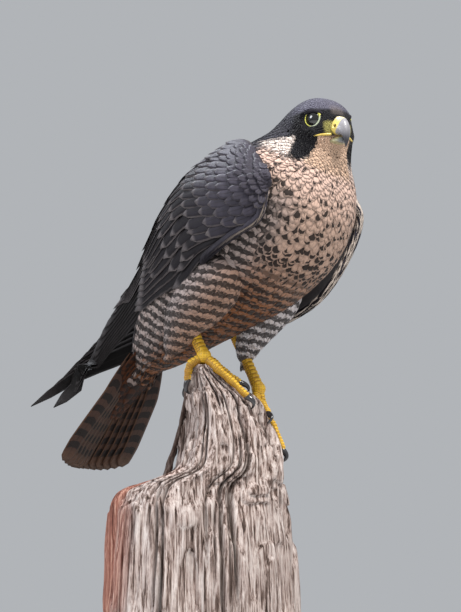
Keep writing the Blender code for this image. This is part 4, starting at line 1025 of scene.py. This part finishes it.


# The bill: a short, deep, strongly hooked upper half with a waxy yellow cere round the nostrils, over a
# smaller lower half. Horn, pale blue-grey at the base with a painted highlight in it, and black at the hook,
# notched near the tip.
UPPER_BILL = np.array([
    (20.5, 2.0, 17.0, -15.0, 10.5), (25.6, 0.5, 22.0, -15.6, 9.8), (30.0, -2.0, 25.5, -16.2, 8.8),
    (33.2, -7.0, 28.5, -17.0, 7.2), (34.6, -14.0, 30.0, -18.2, 5.5), (34.4, -20.0, 30.8, -20.2, 3.9),
    (33.2, -25.0, 31.2, -23.8, 2.1), (31.6, -28.0, 31.0, -27.2, 0.6),
])
LOWER_BILL = np.array([
    (19.0, -15.8, 17.0, -22.4, 9.2), (23.0, -16.8, 21.5, -23.2, 8.0), (26.5, -18.0, 25.5, -23.2, 6.0),
    (28.8, -19.8, 28.0, -22.6, 3.2),
])
NOSTRIL, NOSTRIL_RADIUS = (25.4, 7.4, -8.8), 1.5
# the cream along the cere's ridge and the pale blue-grey of the horn are partly painted highlight
CERE_YELLOW, CERE_CREAM_AND_HIGHLIGHT, CERE_ROOT = (0.78, 0.62, 0.16), (0.80, 0.70, 0.42), (0.80, 0.62, 0.40)
GAPE_YELLOW, NOSTRIL_BROWN, HORN_GREY = (0.74, 0.55, 0.12), (0.035, 0.018, 0.012), (0.20, 0.21, 0.22)
HORN_BLUE_AND_HIGHLIGHT, HORN_BLACK, HORN_LOW = (0.32, 0.315, 0.345), (0.018, 0.018, 0.026), (0.40, 0.38, 0.22)


def bill_surface(table, rows, sides):
    """Sections from the ridge down to the cutting edge, fuller below than at the ridge."""
    s = np.linspace(0, len(table) - 1, rows)
    turn = np.linspace(0, 2 * math.pi, sides, endpoint=False)
    top_f, top_u, low_f, low_u, half = through(table, s).T[:, :, None]
    down = (1 - np.cos(turn)) / 2
    wide = np.abs(np.sin(turn)) ** 0.8 * np.sign(np.sin(turn)) * (0.5 + 0.5 * down)
    return s[:, None], down, top_f + (low_f - top_f) * down, half * wide, top_u + (low_u - top_u) * down


HORN_STOPS = (0.32, (0.66, 0.64, 0.62)), (0.6, (1, 1, 1))
horn_paint, _ = toned_paint("bill_horn", 0.5, (500, 4, (1, 1, 0.4)), HORN_STOPS, (1400, 3), (0.25, 0.0003),
                            Roughness=0.34, Specular_IOR_Level=0.5, Coat_Weight=0.15)
s, down, forward, right, up = bill_surface(UPPER_BILL, 120, 120)
notch = 0.9 * np.exp(-((s - 4.55) / 0.35) ** 2) - 0.7 * np.exp(-((s - 5.2) / 0.30) ** 2)
up = up + notch * step(0.82, 1.0, down)
bulge = 1 + 0.05 * np.exp(-((s - 1.0) / 0.8) ** 2) * step(0.1, 0.5, down) * step(1.0, 0.7, down)
right = right * bulge
hole = np.hypot(forward - NOSTRIL[0], up - NOSTRIL[2])
rim = np.exp(-((hole - NOSTRIL_RADIUS * 1.45) / 0.55) ** 2)
pit = 2.6 * step(NOSTRIL_RADIUS * 1.12, NOSTRIL_RADIUS * 0.72, hole) * (np.abs(right) > 2)
right = right + np.sign(right) * (0.35 * rim - pit)
cere_edge = 1.95 + 0.25 * np.sin(down * math.pi) - 0.55 * step(0.6, 1.0, down)
waxy = step(0.12, -0.12, s - cere_edge)
dark_horn = 0.95 * step(2.6, 5.6, s) + 0.45 * step(0.75, 1.0, down) * step(1.5, 3.0, s)
tone = mix(HORN_BLUE_AND_HIGHLIGHT, HORN_BLACK, np.clip(dark_horn, 0, 1))
# cream along the top of the cere: partly a painted highlight
yellow = mix(CERE_YELLOW, CERE_CREAM_AND_HIGHLIGHT, step(0.35, 0.05, down))
yellow = mix(yellow, CERE_ROOT, 0.5 * step(0.6, 0.2, s))
tone = mix(tone, yellow, waxy)
inside = step(NOSTRIL_RADIUS * 1.05, NOSTRIL_RADIUS * 0.75, hole) * (np.abs(right) > 2)
tone = mix(tone, NOSTRIL_BROWN, inside)
shell("upper_bill", on_head(forward, right, up), horn_paint, "bill_horn", ("bill_upper",), tone=tone)
s, down, forward, right, up = bill_surface(LOWER_BILL, 50, 72)
tone = mix(HORN_LOW, HORN_GREY, step(1.2, 2.8, s + 0 * down))
tone = mix(tone, GAPE_YELLOW, step(0.30, 0.05, down + 0 * s) * step(1.6, 0.8, s + 0 * down))
shell("lower_bill", on_head(forward, right, up), horn_paint, "bill_horn", ("bill_lower",), tone=tone)
# the yellow gape: a thin swollen rim that runs back from each corner of the bill over the feathers
GAPE_ROWS, GAPE_THICK, GAPE_OVER, GAPE_CLEAR = 50, 1.2, 0.7, 40.0
skin_tree = BVHTree.FromPolygons(
    [v.co for v in skin.data.vertices], [p.vertices[:] for p in skin.data.polygons]
)
for side, word in ((1, "right"), (-1, "left")):
    share, line = np.linspace(0, 1, GAPE_ROWS), []
    for outside in on_head(21.0 - 10.0 * share, side * GAPE_CLEAR + 0 * share, -15.2 - 1.6 * share):
        found = skin_tree.ray_cast(Vector(outside * MM + BELLY), Vector(-side * RIGHT))[0]
        if found is not None:
            line.append((np.array(found) - BELLY) / MM + side * RIGHT * GAPE_OVER)
    share = np.linspace(0, 1, len(line))
    ring = tube(np.array(line), (GAPE_THICK * np.sqrt(1 - 0.96 * share))[:, None], 20)
    shell(f"gape_{word}", ring, horn_paint, "bill_horn", tone=GAPE_YELLOW)


# The folded wings: flight feathers in a closed fan with rows of coverts over them, like tiles. Each
# feather lies on a surface led by the wing's front edge, its middle and its back, over a dark shell.
WINGS = {
    "right": {
        "edge": [
            (80, -66, 86), (72, -69, 59), (43, -70, 45), (12, -69, 27), (-14, -61, 4), (-54, -46, -4),
            (-94, -28, -19), (-134, -14, -37), (-160, -6, -50.5), (-200, 9, -79)
        ],
        "middle": [
            (77, -69, 97), (50, -73, 100), (19, -69, 100), (-15, -60, 96), (-45, -52, 68), (-73, -38, 38),
            (-104, -22, 10), (-136, -14, -20), (-160, -7, -48.5), (-200, 9, -78)
        ],
        "back": [
            (68, -58, 110), (36, -30, 141), (7, -12, 145), (-21, -7, 124), (-51, -6, 98), (-81, -6, 63),
            (-109, -6, 31), (-135, -12, -5), (-160, -7, -45.5), (-200, 9, -77)
        ]
    },
    "left": {
        "edge": [
            (88, 68, 106), (92, 78, 82), (78, 76, 46), (50, 70, 10), (8, 63, -10), (-40, 53, -18),
            (-88, 39, -31), (-134, 28, -43), (-176, 12, -57), (-211, -21, -77.5)
        ],
        "middle": [
            (82, 72, 110), (56, 79, 102), (24, 75, 94), (-13, 65, 90), (-45, 54, 62), (-75, 41, 32),
            (-106, 26, 8), (-139, 14, -15), (-174, -2, -39), (-211, -23, -75.5)
        ],
        "back": [
            (68, 60, 114), (38, 32, 142), (7, 12, 145), (-21, 7, 124), (-51, 6, 98), (-81, 6, 63),
            (-109, 5, 32), (-140, 0, 4), (-176, -12, -36), (-211, -25, -73.5)
        ]
    }
}
WING_END, WING_ROLL, SPINE_SLOPE, SHELL_GAP = 9.0, 0.13, 0.81, 2.2
SHELL_REACH, SHELL_HALF, SHELL_SINK, SHELL_ROWS, SHELL_SIDES = 4.5, (3.6, 1.4), 4.5, 40, 56
# name, number, roots from p to p and q to q, tips from p to p and q to q, half-width, thickness,
# depth of the roots and of the tips, added depth from tip to tip, rows and columns of the vane
TIERS = (
    ("primary", 10, (3.7, 4.1), (0.06, 0.44), (8.97, 6.7), (0.3, 0.84), 8.2, 0.7, (6.2, 5.2), (0.2, 3.2),
     0.70, 16, 7),
    ("secondary", 9, (3.6, 3.8), (0.44, 0.93), (6.0, 6.6), (0.52, 0.93), 10.0, 0.7, (5.2, 5.0), (2.5, 2.0),
     0.10, 14, 7),
    ("greater_primary", 7, (2.9, 3.0), (0.06, 0.30), (5.6, 5.0), (0.14, 0.42), 7.5, 0.6, (4.6, 4.4),
     (1.3, 1.0), 0.10, 12, 5),
    ("greater", 12, (2.8, 3.1), (0.20, 0.92), (4.75, 5.2), (0.26, 0.93), 9.0, 0.6, (4.4, 4.2), (0.9, 0.6),
     0.06, 12, 5),
    ("alula", 4, (1.2, 1.7), (0.07, 0.02), (3.0, 4.15), (0.16, 0.04), 5.6, 0.7, (3.6, 3.6), (-1.2, 0.4),
     0.20, 12, 5),
    ("tertial", 5, (2.5, 3.1), (0.80, 0.94), (5.5, 5.0), (0.80, 0.95), 11.0, 0.7, (3.8, 3.4), (0.2, -0.6),
     0.16, 14, 5),
)
# small coverts by rows: p of the roots, number, q from and to, length in p, half-width, and depth of the
# roots and of the tips
COVERT_TIERS = (
    (2.55, 11, 0.10, 0.94, 1.45, 8.6, 3.8, 0.1),
    (2.15, 11, 0.06, 0.92, 1.35, 8.2, 3.5, -0.4),
    (1.75, 12, 0.08, 0.94, 1.20, 7.6, 3.3, -0.9),
    (1.40, 12, 0.05, 0.92, 1.05, 7.0, 3.1, -1.2),
    (1.08, 12, 0.07, 0.94, 0.95, 6.4, 2.9, -1.5),
    (0.78, 12, 0.04, 0.92, 0.85, 5.8, 2.7, -1.7),
    (0.50, 12, 0.06, 0.93, 0.75, 5.2, 2.5, -1.9),
    (0.24, 11, 0.03, 0.92, 0.68, 4.8, 2.3, -2.0),
    (0.00, 11, 0.02, 0.96, 0.60, 4.4, 2.1, -2.1),
    (-0.26, 11, 0.04, 0.94, 0.55, 4.2, 2.4, -2.0),
    (-0.50, 10, 0.02, 0.97, 0.60, 4.2, 3.2, -1.2),
)
# how strong a small covert's rim is, by p of its tip
RIM_STRENGTH = (0.5, 1.5, 2.3, 3, 4.5), (0.10, 0.16, 0.55, 0.8, 0.9)
SLATE_WING, BROWN_WING, DARK_BLADE = (0.050, 0.045, 0.062), (0.013, 0.011, 0.014), (0.007, 0.006, 0.0065)
PALE_EDGE, WHITE_EDGE, DOWN_BROWN = (0.19, 0.165, 0.17), (0.72, 0.62, 0.55), (0.03, 0.027, 0.03, 1)


def wing_point(guides, p, q):
    """The wing's surface, p from the wrist, 0, to the tip, 9; q from the front edge, 0, to the back, 1.

    Across the wing it is a curve with one pull point, set so that it passes through the middle line.
    """
    p = np.asarray(p, float)
    beyond = np.maximum(-p, 0)[..., None]
    edge, middle, back = (through(guides[word], p) for word in ("edge", "middle", "back"))
    pull = 2 * middle - (edge + back) / 2
    q = np.asarray(q, float)[..., None]
    spot = (1 - q) ** 2 * edge + 2 * q * (1 - q) * pull + q**2 * back
    return spot + beyond * np.array([12.0, 0.0, 4.0])


def wing_normal(guides, p, q):
    """The side of that surface which faces away from the middle line of the bird."""
    stride = 0.02
    q, p = np.clip(q, stride, 1 - stride), np.clip(p, stride, WING_END - stride)
    along = wing_point(guides, p + stride, q) - wing_point(guides, p - stride, q)
    across = wing_point(guides, p, q + stride) - wing_point(guides, p, q - stride)
    normal = unit(np.cross(along, across))
    spot = wing_point(guides, p, q)
    away = np.stack(
        [spot[..., 0] * 0, spot[..., 1], spot[..., 2] - (SPINE_SLOPE * (spot[..., 0] + 88) - 38)], -1
    )
    return normal * np.sign((normal * away).sum(-1))[..., None]


def wing_shell(guides):
    """A closed shell under the feathers, as thick as its half-depths, which sinks as it runs back."""
    turn = np.linspace(0, 2 * math.pi, SHELL_SIDES, endpoint=False)
    t = np.linspace(0, 1, SHELL_ROWS)[:, None]
    p, q = np.broadcast_arrays(t * SHELL_REACH, ((1 - np.cos(turn)) / 2)[None])
    half = SHELL_HALF[0] + (SHELL_HALF[1] - SHELL_HALF[0]) * t
    sink = SHELL_SINK * np.clip((t - 0.1) / 0.9, 0, 1) + half + SHELL_GAP
    return wing_point(guides, p, q) + wing_normal(guides, p, q) * (np.sin(turn) * half - sink)[..., None]


wing_vane = feather_paint("wing_feather", 0.50, 60, 0.02, 0.5)
shell_paint, tree, shader = finish("wing_down", Base_Color=DOWN_BROWN, Roughness=0.85)
bumped(tree, shader, object_noise(tree, 800), 0.6, 0.0006)


def tier_path(guides, root_p, tip_p, root_q, tip_q, root_deep, tip_deep, rows):
    t = np.linspace(0, 1, rows)
    p = root_p[:, None] * (1 - t) + tip_p[:, None] * t
    q = root_q[:, None] * (1 - t) + tip_q[:, None] * t
    deep = root_deep[:, None] * (1 - t) + tip_deep[:, None] * t
    normal = wing_normal(guides, p, q)
    return wing_point(guides, p, q) - normal * deep[..., None], normal


def wing_tone(p, q, chance):
    """Slate where the wing is smooth towards the shoulder and the back, browner and darker to the tip."""
    tone = mix(SLATE_WING, BROWN_WING, step(1.6, 3.6, p))
    tone = mix(tone, DARK_BLADE, step(5.2, 7.0, p))
    tone = mix(tone, SLATE_WING, 0.5 * step(0.55, 0.9, q) * step(5.5, 3.0, p))
    return tone * (1 + 0.16 * chance[:, None])


def blade_outline(rows, point):
    """Half-width down a feather: narrow at the quill, full by two fifths, rounded in over the last part."""
    v = np.linspace(0, 1, rows)
    swell = 0.45 + 0.55 * np.sin(np.minimum(v / 0.35, 1) * math.pi / 2)
    return swell * np.sqrt(np.clip(1 - np.clip((v - 1 + point) / point, 0, 1) ** 2.2, 0.004, 1))


def feather_cells(count, first, across=24, down=24):
    n = first + np.arange(count)
    return np.c_[
        (n % across) / across, (n // across) / down, np.full(count, 0.95 / across),
        np.full(count, 0.95 / down)
    ]


for word, side in (("right", -1), ("left", 1)):
    guides = WINGS[word]
    shell(f"wing_shell_{word}", wing_shell(guides), shell_paint, "wing_feather", (f"wing_{word}",))
    placed = 0
    for name, count, root_p, root_q, tip_p, tip_q, half, thick, *deep, tier, rows, cols in TIERS:
        s = np.linspace(0, 1, count)
        chance = hashed(count, 200 + placed + (side > 0), 3)
        ends = [a + (b - a) * s for a, b in (root_p, tip_p, root_q, tip_q, *deep)]
        ends[1] = ends[1] + 0.03 * chance[:, 0]
        ends[5] = ends[5] + tier * (count - 1 - np.arange(count))
        path, up = tier_path(guides, *ends, rows)
        outline = blade_outline(rows, 0.42 if name == "primary" else 0.22)
        tone = wing_tone(ends[1], ends[3], chance[:, 1])
        pale = {"primary": 0.35, "secondary": 0.6}.get(name, 0.75)
        rim = np.array(PALE_EDGE) * (0.4 if name == "primary" else 0.75)
        edge = np.tile((*rim, pale), (count, 1))
        mark = columns(0, 0.22, 7 + chance[:, 2])
        feathers(f"{name}_feathers_{word}", path, up, half, outline, cols, 0.10, -side * WING_ROLL,
                 thick, tone, edge, mark, feather_cells(count, placed), wing_vane)
        placed += count
    parts = []
    for line, (root_p, count, q_from, q_to, reach, half, root_deep, tip_deep) in enumerate(COVERT_TIERS):
        s = np.linspace(0, 1, count)
        chance = hashed(count, 300 + 20 * line + (side > 0), 5)
        q = q_from + (q_to - q_from) * s + 0.006 * chance[:, 0]
        path, up = tier_path(
            guides, root_p + 0.05 * chance[:, 1], root_p + reach + 0.06 * chance[:, 1], q,
            np.clip(q + 0.03, 0, 0.98), np.full(count, root_deep), tip_deep + 0.25 * chance[:, 2], 9
        )
        tone = wing_tone(root_p + reach + 0 * s, q, chance[:, 4])
        front = (
            step(0.34 if side > 0 else 0.075, 0.02, q)
            * step(4.6 if side > 0 else 3.2, 1.5, root_p + reach + 0 * s)
        )
        tone = mix(tone, WHITE_EDGE, front * (side > 0))
        edge = np.c_[mix(PALE_EDGE, WHITE_EDGE, front), np.interp(root_p + reach, *RIM_STRENGTH) + 0 * s]
        mark = columns(0.9 * front * (side > 0), 0.12, 4 + chance[:, 4])
        parts.append((path, up, half * (1 + 0.08 * chance[:, 3]), tone, edge, mark))
    path, up, half, tone, edge, mark = stacked(parts)
    feathers(f"wing_coverts_{word}", path, up, half, blade_outline(9, 0.5), 5, 0.16, -side * 0.10, 0.5, tone,
             edge, mark, feather_cells(len(path), 60), wing_vane)


# The scapulars and mantle: rounded slate feathers with pale rims that cover the joint between the back
# and the wings. They lie over the rear edge of each wing, and those of the mantle close the middle.
# p of the root, q, p of the tip, half-width, depth of the root and of the tip
SCAPULARS = tuple(
    (
        0.3 + 0.42 * row, 0.80 + 0.07 * column, 1.75 + 0.55 * row, 8.5, 2.2 - 0.1 * column,
        -2.9 + 0.12 * row - 0.25 * column
    )
    for row in range(7)
    for column in range(3)
)
for word, side in (("right", -1), ("left", 1)):
    rows = np.array(SCAPULARS)
    chance = hashed(len(rows), 400 + side, 4)
    path, up = tier_path(
        WINGS[word], rows[:, 0], rows[:, 2] + 0.05 * chance[:, 0], rows[:, 1],
        np.clip(rows[:, 1] - 0.02, 0, 0.98), rows[:, 4], rows[:, 5] + 0.2 * chance[:, 1], 10
    )
    tone = wing_tone(rows[:, 2] * 0.6, rows[:, 1], chance[:, 2])
    edge = np.tile((*PALE_EDGE, 0.55), (len(rows), 1))
    mark = columns(0, 0.15, 4 + chance[:, 3])
    feathers(
        f"scapulars_{word}", path, up, rows[:, 3] * (1 + 0.08 * chance[:, 3]), blade_outline(10, 0.5), 5,
        0.16, -side * 0.06, 0.5, tone, edge, mark, feather_cells(len(rows), 0), wing_vane
    )


# The front edges of the folded wings: rows of small feathers wrapped round them, from the outside over
# the edge to the inside. On the far wing they show from the front as a strip of white and black spots.
EDGE_COUNT, EDGE_REACH, EDGE_HALF, EDGE_ROUND, EDGE_TURNS = 22, 0.55, 3.9, 3.0, (15, 50, 85, 120, 155)
EDGE_CREAM = (0.40, 0.33, 0.28)
for word, side, last in (("right", -1, 2.4), ("left", 1, 4.4)):
    guides, parts = WINGS[word], []
    for line, turn in enumerate(EDGE_TURNS):
        chance = hashed(EDGE_COUNT, 440 + 10 * line + side, 4)
        t = np.linspace(0, 1, 8)
        p = np.linspace(-0.25, last, EDGE_COUNT)[:, None] + 0.06 * (line % 2) + EDGE_REACH * t
        front_line, out = wing_point(guides, p, 0 * p), wing_normal(guides, p, 0 * p)
        front = unit(front_line - wing_point(guides, p, 0.12 + 0 * p))
        up = math.cos(math.radians(turn)) * out + math.sin(math.radians(turn)) * front
        path = (
            front_line - EDGE_ROUND * out
            + up * (EDGE_ROUND * (0.45 + 0.65 * t) + 0.2 * chance[:, :1] * t)[..., None]
        )
        pale = (
            step(last + 0.5, last - 1.0, p[:, -1]) * (chance[:, 2] > -0.25)
            * (1.0 if side > 0 or line > 1 else 0.0)
        )
        tone = mix(
            wing_tone(p[:, -1], 0 * p[:, -1], chance[:, 1]), WHITE_EDGE if side > 0 else EDGE_CREAM, pale
        )
        mark = columns(0.75 * pale, 0, 0)
        parts.append((path, up, tone, mark))
    path, up, tone, mark = stacked(parts)
    feathers(
        f"wing_edge_feathers_{word}", path, up, EDGE_HALF, blade_outline(8, 0.5), 5, 0.2, 0.0, 0.3, tone,
        np.c_[tone, np.full(len(path), 0.1)], mark, feather_cells(len(path), 0, 12, 12), wing_vane,
    )


# The tail: twelve long feathers fanned from the rump, the middle pair on top, with a bank of fluffy
# barred coverts under their roots, painted dark as shade, and a few smooth ones over them.
TAIL_ROOT, TAIL_TIP = np.array([-88.0, -1.0, -36.0]), np.array([-158.0, -7.0, -138.0])
TAIL_LONG = float(np.linalg.norm(TAIL_TIP - TAIL_ROOT))
TAIL_ALONG, TAIL_ACROSS = unit(TAIL_TIP - TAIL_ROOT), unit(np.array([0.08, 1.0, 0.0]))
TAIL_UP = unit(np.cross(TAIL_ACROSS, TAIL_ALONG))
TAIL_UP = TAIL_UP * np.sign(TAIL_UP[2] - TAIL_UP[0])
TAIL_FEATHERS, TAIL_ROWS, TAIL_TIER, TAIL_HALF = 12, 22, 0.62, 9.4
TAIL_ROOT_STEP, TAIL_TIP_STEP = 3.2, 6.9
TAIL_TONE, TAIL_TIP_TONE, TAIL_BAR_COUNT = (0.070, 0.037, 0.027), (0.12, 0.065, 0.042), 8.6
# the under tail coverts' tone is painted dark as shade under the tail
UNDER_COVERT_SHADE = (0.062, 0.021, 0.009)


def tail_spot(t, across, away):
    """A place of the tail: t down its length, millimetres across it, and millimetres over it."""
    return (
        TAIL_ROOT + t[..., None] * TAIL_LONG * TAIL_ALONG + across[..., None] * TAIL_ACROSS
        + away[..., None] * TAIL_UP
    )


tail_vane = feather_paint("tail_feather", 0.6, 90, 0.01, 0.3)
order = np.arange(TAIL_FEATHERS) - (TAIL_FEATHERS - 1) / 2
v = np.linspace(0, 1, TAIL_ROWS)
t = (0.04 + 0.96 * v) * (1 - 0.075 * np.abs(order / order.max()) ** 2.2)[:, None]
across = (TAIL_ROOT_STEP + (TAIL_TIP_STEP - TAIL_ROOT_STEP) * np.minimum(t / 0.75, 1) ** 0.8) * order[:, None]
lower = -TAIL_TIER * np.abs(order)[:, None] * np.minimum(1, t / 0.35) * 2.2 + 2.0 * (1 - t)
path = tail_spot(t, across, lower)
chance = hashed(TAIL_FEATHERS, 500, 3)
feathers(
    "tail_feathers", path, np.broadcast_to(TAIL_UP, path.shape), TAIL_HALF,
    0.55 + 0.45 * np.sin(np.minimum(v / 0.4, 1) * math.pi / 2) - 0.62 * np.clip((v - 0.93) / 0.07, 0, 1) ** 2,
    7, 0.05, 0.0, 0.7, np.array(TAIL_TONE) * (1 + 0.12 * chance[:, :1]),
    np.tile((*TAIL_TIP_TONE, 0.85), (TAIL_FEATHERS, 1)),
    columns(0, 0.93, TAIL_BAR_COUNT + 0.12 * chance[:, 1]), feather_cells(TAIL_FEATHERS, 0, 4, 4), tail_vane,
    ("tail",)
)
# rows of coverts: face (under -1, over 1), reach down the tail, number, spread, height, half-width
COVERTS = (
    (-1, 0.58, 8, 36, 4.6, 8.0), (-1, 0.50, 9, 38, 6.6, 8.0), (-1, 0.42, 9, 38, 8.4, 7.5),
    (-1, 0.33, 9, 36, 10.0, 7.0), (-1, 0.24, 8, 34, 11.4, 6.6), (-1, 0.15, 8, 30, 12.4, 6.2),
    (1, 0.46, 7, 32, 5.2, 9.0), (1, 0.36, 7, 32, 6.2, 8.5), (1, 0.26, 7, 30, 7.2, 8.0)
)
for face in (-1, 1):
    parts = []
    for line, (way, reach, count, spread, height, half) in enumerate(COVERTS):
        if way != face:
            continue
        place = np.linspace(-0.5, 0.5, count)[:, None]
        v = np.linspace(0, 1, 9)
        t = (reach - 0.34) * (1 - v) + v * reach * (1 - 0.2 * np.abs(place) * 2)
        away = face * (height * np.cos(place * 2.2) * (1 - 0.55 * v) + 0.8)
        chance = hashed(count, 520 + line, 4)
        path = tail_spot(
            t, spread * place * (0.75 + 0.5 * v) + 1.2 * chance[:, :1], away + 0.5 * chance[:, 1:2] * v
        )
        # the under coverts take the darker tone, painted shade under the tail
        tone = np.array(UNDER_COVERT_SHADE if face < 0 else BROWN_WING) * (1 + 0.15 * chance[:, 2:3])
        mark = columns(0, 0.85 if face < 0 else 0.4, 4.6 + 0.4 * chance[:, 3])
        parts.append((path, np.full(count, half), tone, mark))
    path, half, tone, mark = stacked(parts)
    name = "under_tail_coverts" if face < 0 else "upper_tail_coverts"
    feathers(
        name, path, np.broadcast_to(TAIL_UP * face, path.shape), half, blade_outline(9, 0.5), 5, 0.2, 0.0,
        0.6, tone, np.c_[np.clip(tone * 1.7, 0, 0.9), np.full(len(tone), 0.8)], mark,
        feather_cells(len(path), 0, 8, 8), tail_vane
    )


# The feet: short bright yellow shanks with broad scutes in front, and four toes each, scaled on top and
# padded below, which grip the splintered top of the wood. Each toe ends in a curved black claw.
TOE_RADIUS, PAD_RADIUS, TARSUS_RADIUS = 3.6, 6.2, 5.0
CLAW_LENGTH, CLAW_RADIUS, CLAW_TIP, GRIP_GAP = 15.0, 2.5, 0.35, 0.3
FEET = {
    "right": ((-9.6, -28, -47.7), (-20, -28.5, -27), {
        "middle": [(3.5, -26, -59), (17, -19, -71), (26, -14, -83)],
        "outer": [(-16.5, -34, -51), (-23, -38, -62), (-23, -40, -68)],
        "inner": [(-6, -18, -56), (-3, -9, -68), (2, -4, -80)],
        "rear": [(-17, -22, -54), (-26, -16, -62), (-30, -13, -72)],
    }),
    "left": ((10.5, 30, -72), (-6, 28.5, -36), {
        "middle": [(17, 31, -92), (24, 32, -108), (34, 34, -126)],
        "outer": [(20, 35, -89), (28, 40, -101), (28, 43, -113)],
        "inner": [(10, 23, -84), (14, 17, -93), (19, 14, -100)],
        "rear": [(2, 36, -82), (-5, 40, -92), (-8, 40, -104)],
    }),
}
TOE_POINTS, TOE_ROWS, TOE_SIDES, SCUTE_GAP = 7, 130, 36, 3.0
SMALL_SCALE = 0.55
ROOT_SWELL, KNUCKLE_SWELL, KNUCKLES, TOE_TAPER = 0.9, 0.35, 3.2, 0.7
LEG_YELLOW, LEG_ORANGE, SEAM_BROWN = (0.82, 0.50, 0.035), (0.74, 0.36, 0.02), (0.26, 0.12, 0.02)


def on_wood(point, lift):
    """The place nearest to a point that is lift above the plain wood, and the wood's normal there."""
    found, normal, _, _ = wood_tree.find_nearest([float(c) for c in point])
    return np.array(found) + np.array(normal) * lift, np.array(normal)


def scutes(length, turn, ahead, gap):
    """Height and seam of scales: broad plates across the ahead side, and small round ones elsewhere."""
    plate = (length / gap) % 1.0
    ridge = np.sin(math.pi * plate) ** 0.7
    ring = gap * SMALL_SCALE
    small = np.abs(np.sin(math.pi * length / ring) * np.cos(turn * 9 + (length // ring) * 1.57)) ** 0.6
    front = step(-0.15, 0.35, ahead)
    high = ridge * front + small * 0.8 * (1 - front)
    return high, 1 - step(0.15, 0.65, high)


DIRT_STOPS = (0.34, (0.62, 0.52, 0.42)), (0.58, (1, 1, 1))
CLAW_STOPS = (0.3, (0.010, 0.010, 0.012)), (0.7, (0.045, 0.042, 0.045))
leg_paint, shader = toned_paint("scaled_yellow_skin", 0.55, (260, 4), DIRT_STOPS, (1500, 3), (0.35, 0.0004),
                                Roughness=0.42, Specular_IOR_Level=0.45, Subsurface_Weight=0.08)
shader.inputs["Subsurface Radius"].default_value = (0.004, 0.002, 0.001)
claw_paint, tree, shader = finish("black_claw_horn", Roughness=0.2, Specular_IOR_Level=0.55, Coat_Weight=0.4)
tree.links.new(ramp(tree, object_noise(tree, 240, 3, (1, 1, 0.5)), CLAW_STOPS), shader.inputs["Base Color"])
bumped(tree, shader, object_noise(tree, 900), 0.15, 0.0003)


def scaled(rings_path, base_radii, sides, front_sign, gap, up=(0.2, 0.4, 1.0)):
    """A scaled tube: the plain tube's radius plus the height of its scales, with the tone of the seams."""
    spans = np.linalg.norm(np.diff(rings_path, axis=0), axis=1)
    length = np.concatenate([[0], np.cumsum(spans)])[:, None]
    turn = np.linspace(0, 2 * math.pi, sides, endpoint=False)[None]
    ahead = np.sin(turn) * front_sign + 0 * length
    high, seam = scutes(length + 0.35 * np.abs(np.cos(turn)), turn, ahead, gap)
    under = step(0.2, 0.9, -ahead)
    radii = base_radii[:, None] - 0.60 + 0.85 * high + 0.22 * under * np.sin(length / 4.2) ** 2
    rings = tube(rings_path, radii, sides, up)
    tone = mix(mix(LEG_YELLOW, LEG_ORANGE, 0.55 * under), SEAM_BROWN, 0.9 * seam)
    return rings, tone


for word, (joint, ankle, toes) in FEET.items():
    joint, ankle = np.array(joint, float), np.array(ankle, float)
    shells = []
    for toe, knots in toes.items():
        laid_knots = [joint] + [on_wood(point, TOE_RADIUS)[0] for point in knots]
        coarse = through(laid_knots, np.linspace(0, len(laid_knots) - 1, TOE_POINTS))
        path = through(laid_knots, np.linspace(0, len(laid_knots) - 1, TOE_ROWS))
        t = np.linspace(0, 1, TOE_ROWS)
        knuckles = KNUCKLE_SWELL * np.cos(t * 2 * math.pi * KNUCKLES) * (1 - 0.3 * t)
        radii = TOE_RADIUS + ROOT_SWELL * (1 - t) ** 2 + knuckles - TOE_TAPER * t
        end = unit(path[-1] - path[-2])
        cap_t = np.linspace(0, 1, 9)[1:]
        path = np.vstack([path, path[-1] + end * (cap_t * radii[-1] * 0.7)[:, None]])
        radii = np.concatenate([radii, radii[-1] * np.sqrt(1 - (cap_t * 0.86) ** 2)])
        shells.append(scaled(path, radii, TOE_SIDES, 1.0, SCUTE_GAP))
        ahead = unit(coarse[-1] - coarse[-2])
        start = coarse[-1] + ahead * (TOE_RADIUS * 0.62 + GRIP_GAP)
        tip = on_wood(start + ahead * CLAW_LENGTH * 0.7, CLAW_TIP + GRIP_GAP)[0]
        bend = start + ahead * CLAW_LENGTH * 0.55 + on_wood(start, 0)[1] * CLAW_LENGTH * 0.22
        t = np.linspace(-0.12, 1, 40)[:, None]
        curve = (1 - t) ** 2 * start + 2 * t * (1 - t) * bend + t**2 * tip
        t = np.clip(t, 0, 1)
        rings = tube(curve, CLAW_TIP + (CLAW_RADIUS - CLAW_TIP) * (1 - t) ** 0.7, 24, flat=1.15)
        shell(f"claw_horn_{word}_{toe}", rings, claw_paint, "claw", (f"claw_{word}_{toe}",))
    polar, turn, ball = ball_rings(40, 56, 0.05)
    bumps = np.abs(np.sin(polar * 9) * np.cos(turn * 8)) ** 0.7
    shells.append((
        joint + ball * (PAD_RADIUS + 0.35 * bumps)[..., None],
        mix(SEAM_BROWN, LEG_YELLOW, step(0.0, 0.3, bumps))
    ))
    points, quads, fans, tones, first = [], [], [], [], 0
    for rings, tone in shells:
        flat, sheet, ends = capped(rings)
        points.append(flat)
        quads.append(sheet + first)
        fans.append(ends + first)
        tones.append(np.vstack([tone.reshape(-1, 3), tone[0, :1], tone[-1, :1]]))
        first += len(flat)
    tones = np.vstack(tones)
    piece(
        f"toes_{word}", np.vstack(points), np.vstack(quads), np.vstack(fans), leg_paint,
        (f"foot_{word}",), {"tone": np.c_[tones, np.ones(len(tones))]}
    )
    start = ankle + (ankle - joint) * 0.35
    t = np.linspace(0, 1, 150)
    path = start + np.outer(t, joint - start)
    rings, tone = scaled(path, TARSUS_RADIUS + 0.6 * (2 * t - 1) ** 2, 48, 1.0, 4.0, up=(1.0, 0.3, 0.5))
    shell(f"shank_{word}", rings, leg_paint, "leg_skin", (f"tarsus_{word}",), tone=tone)
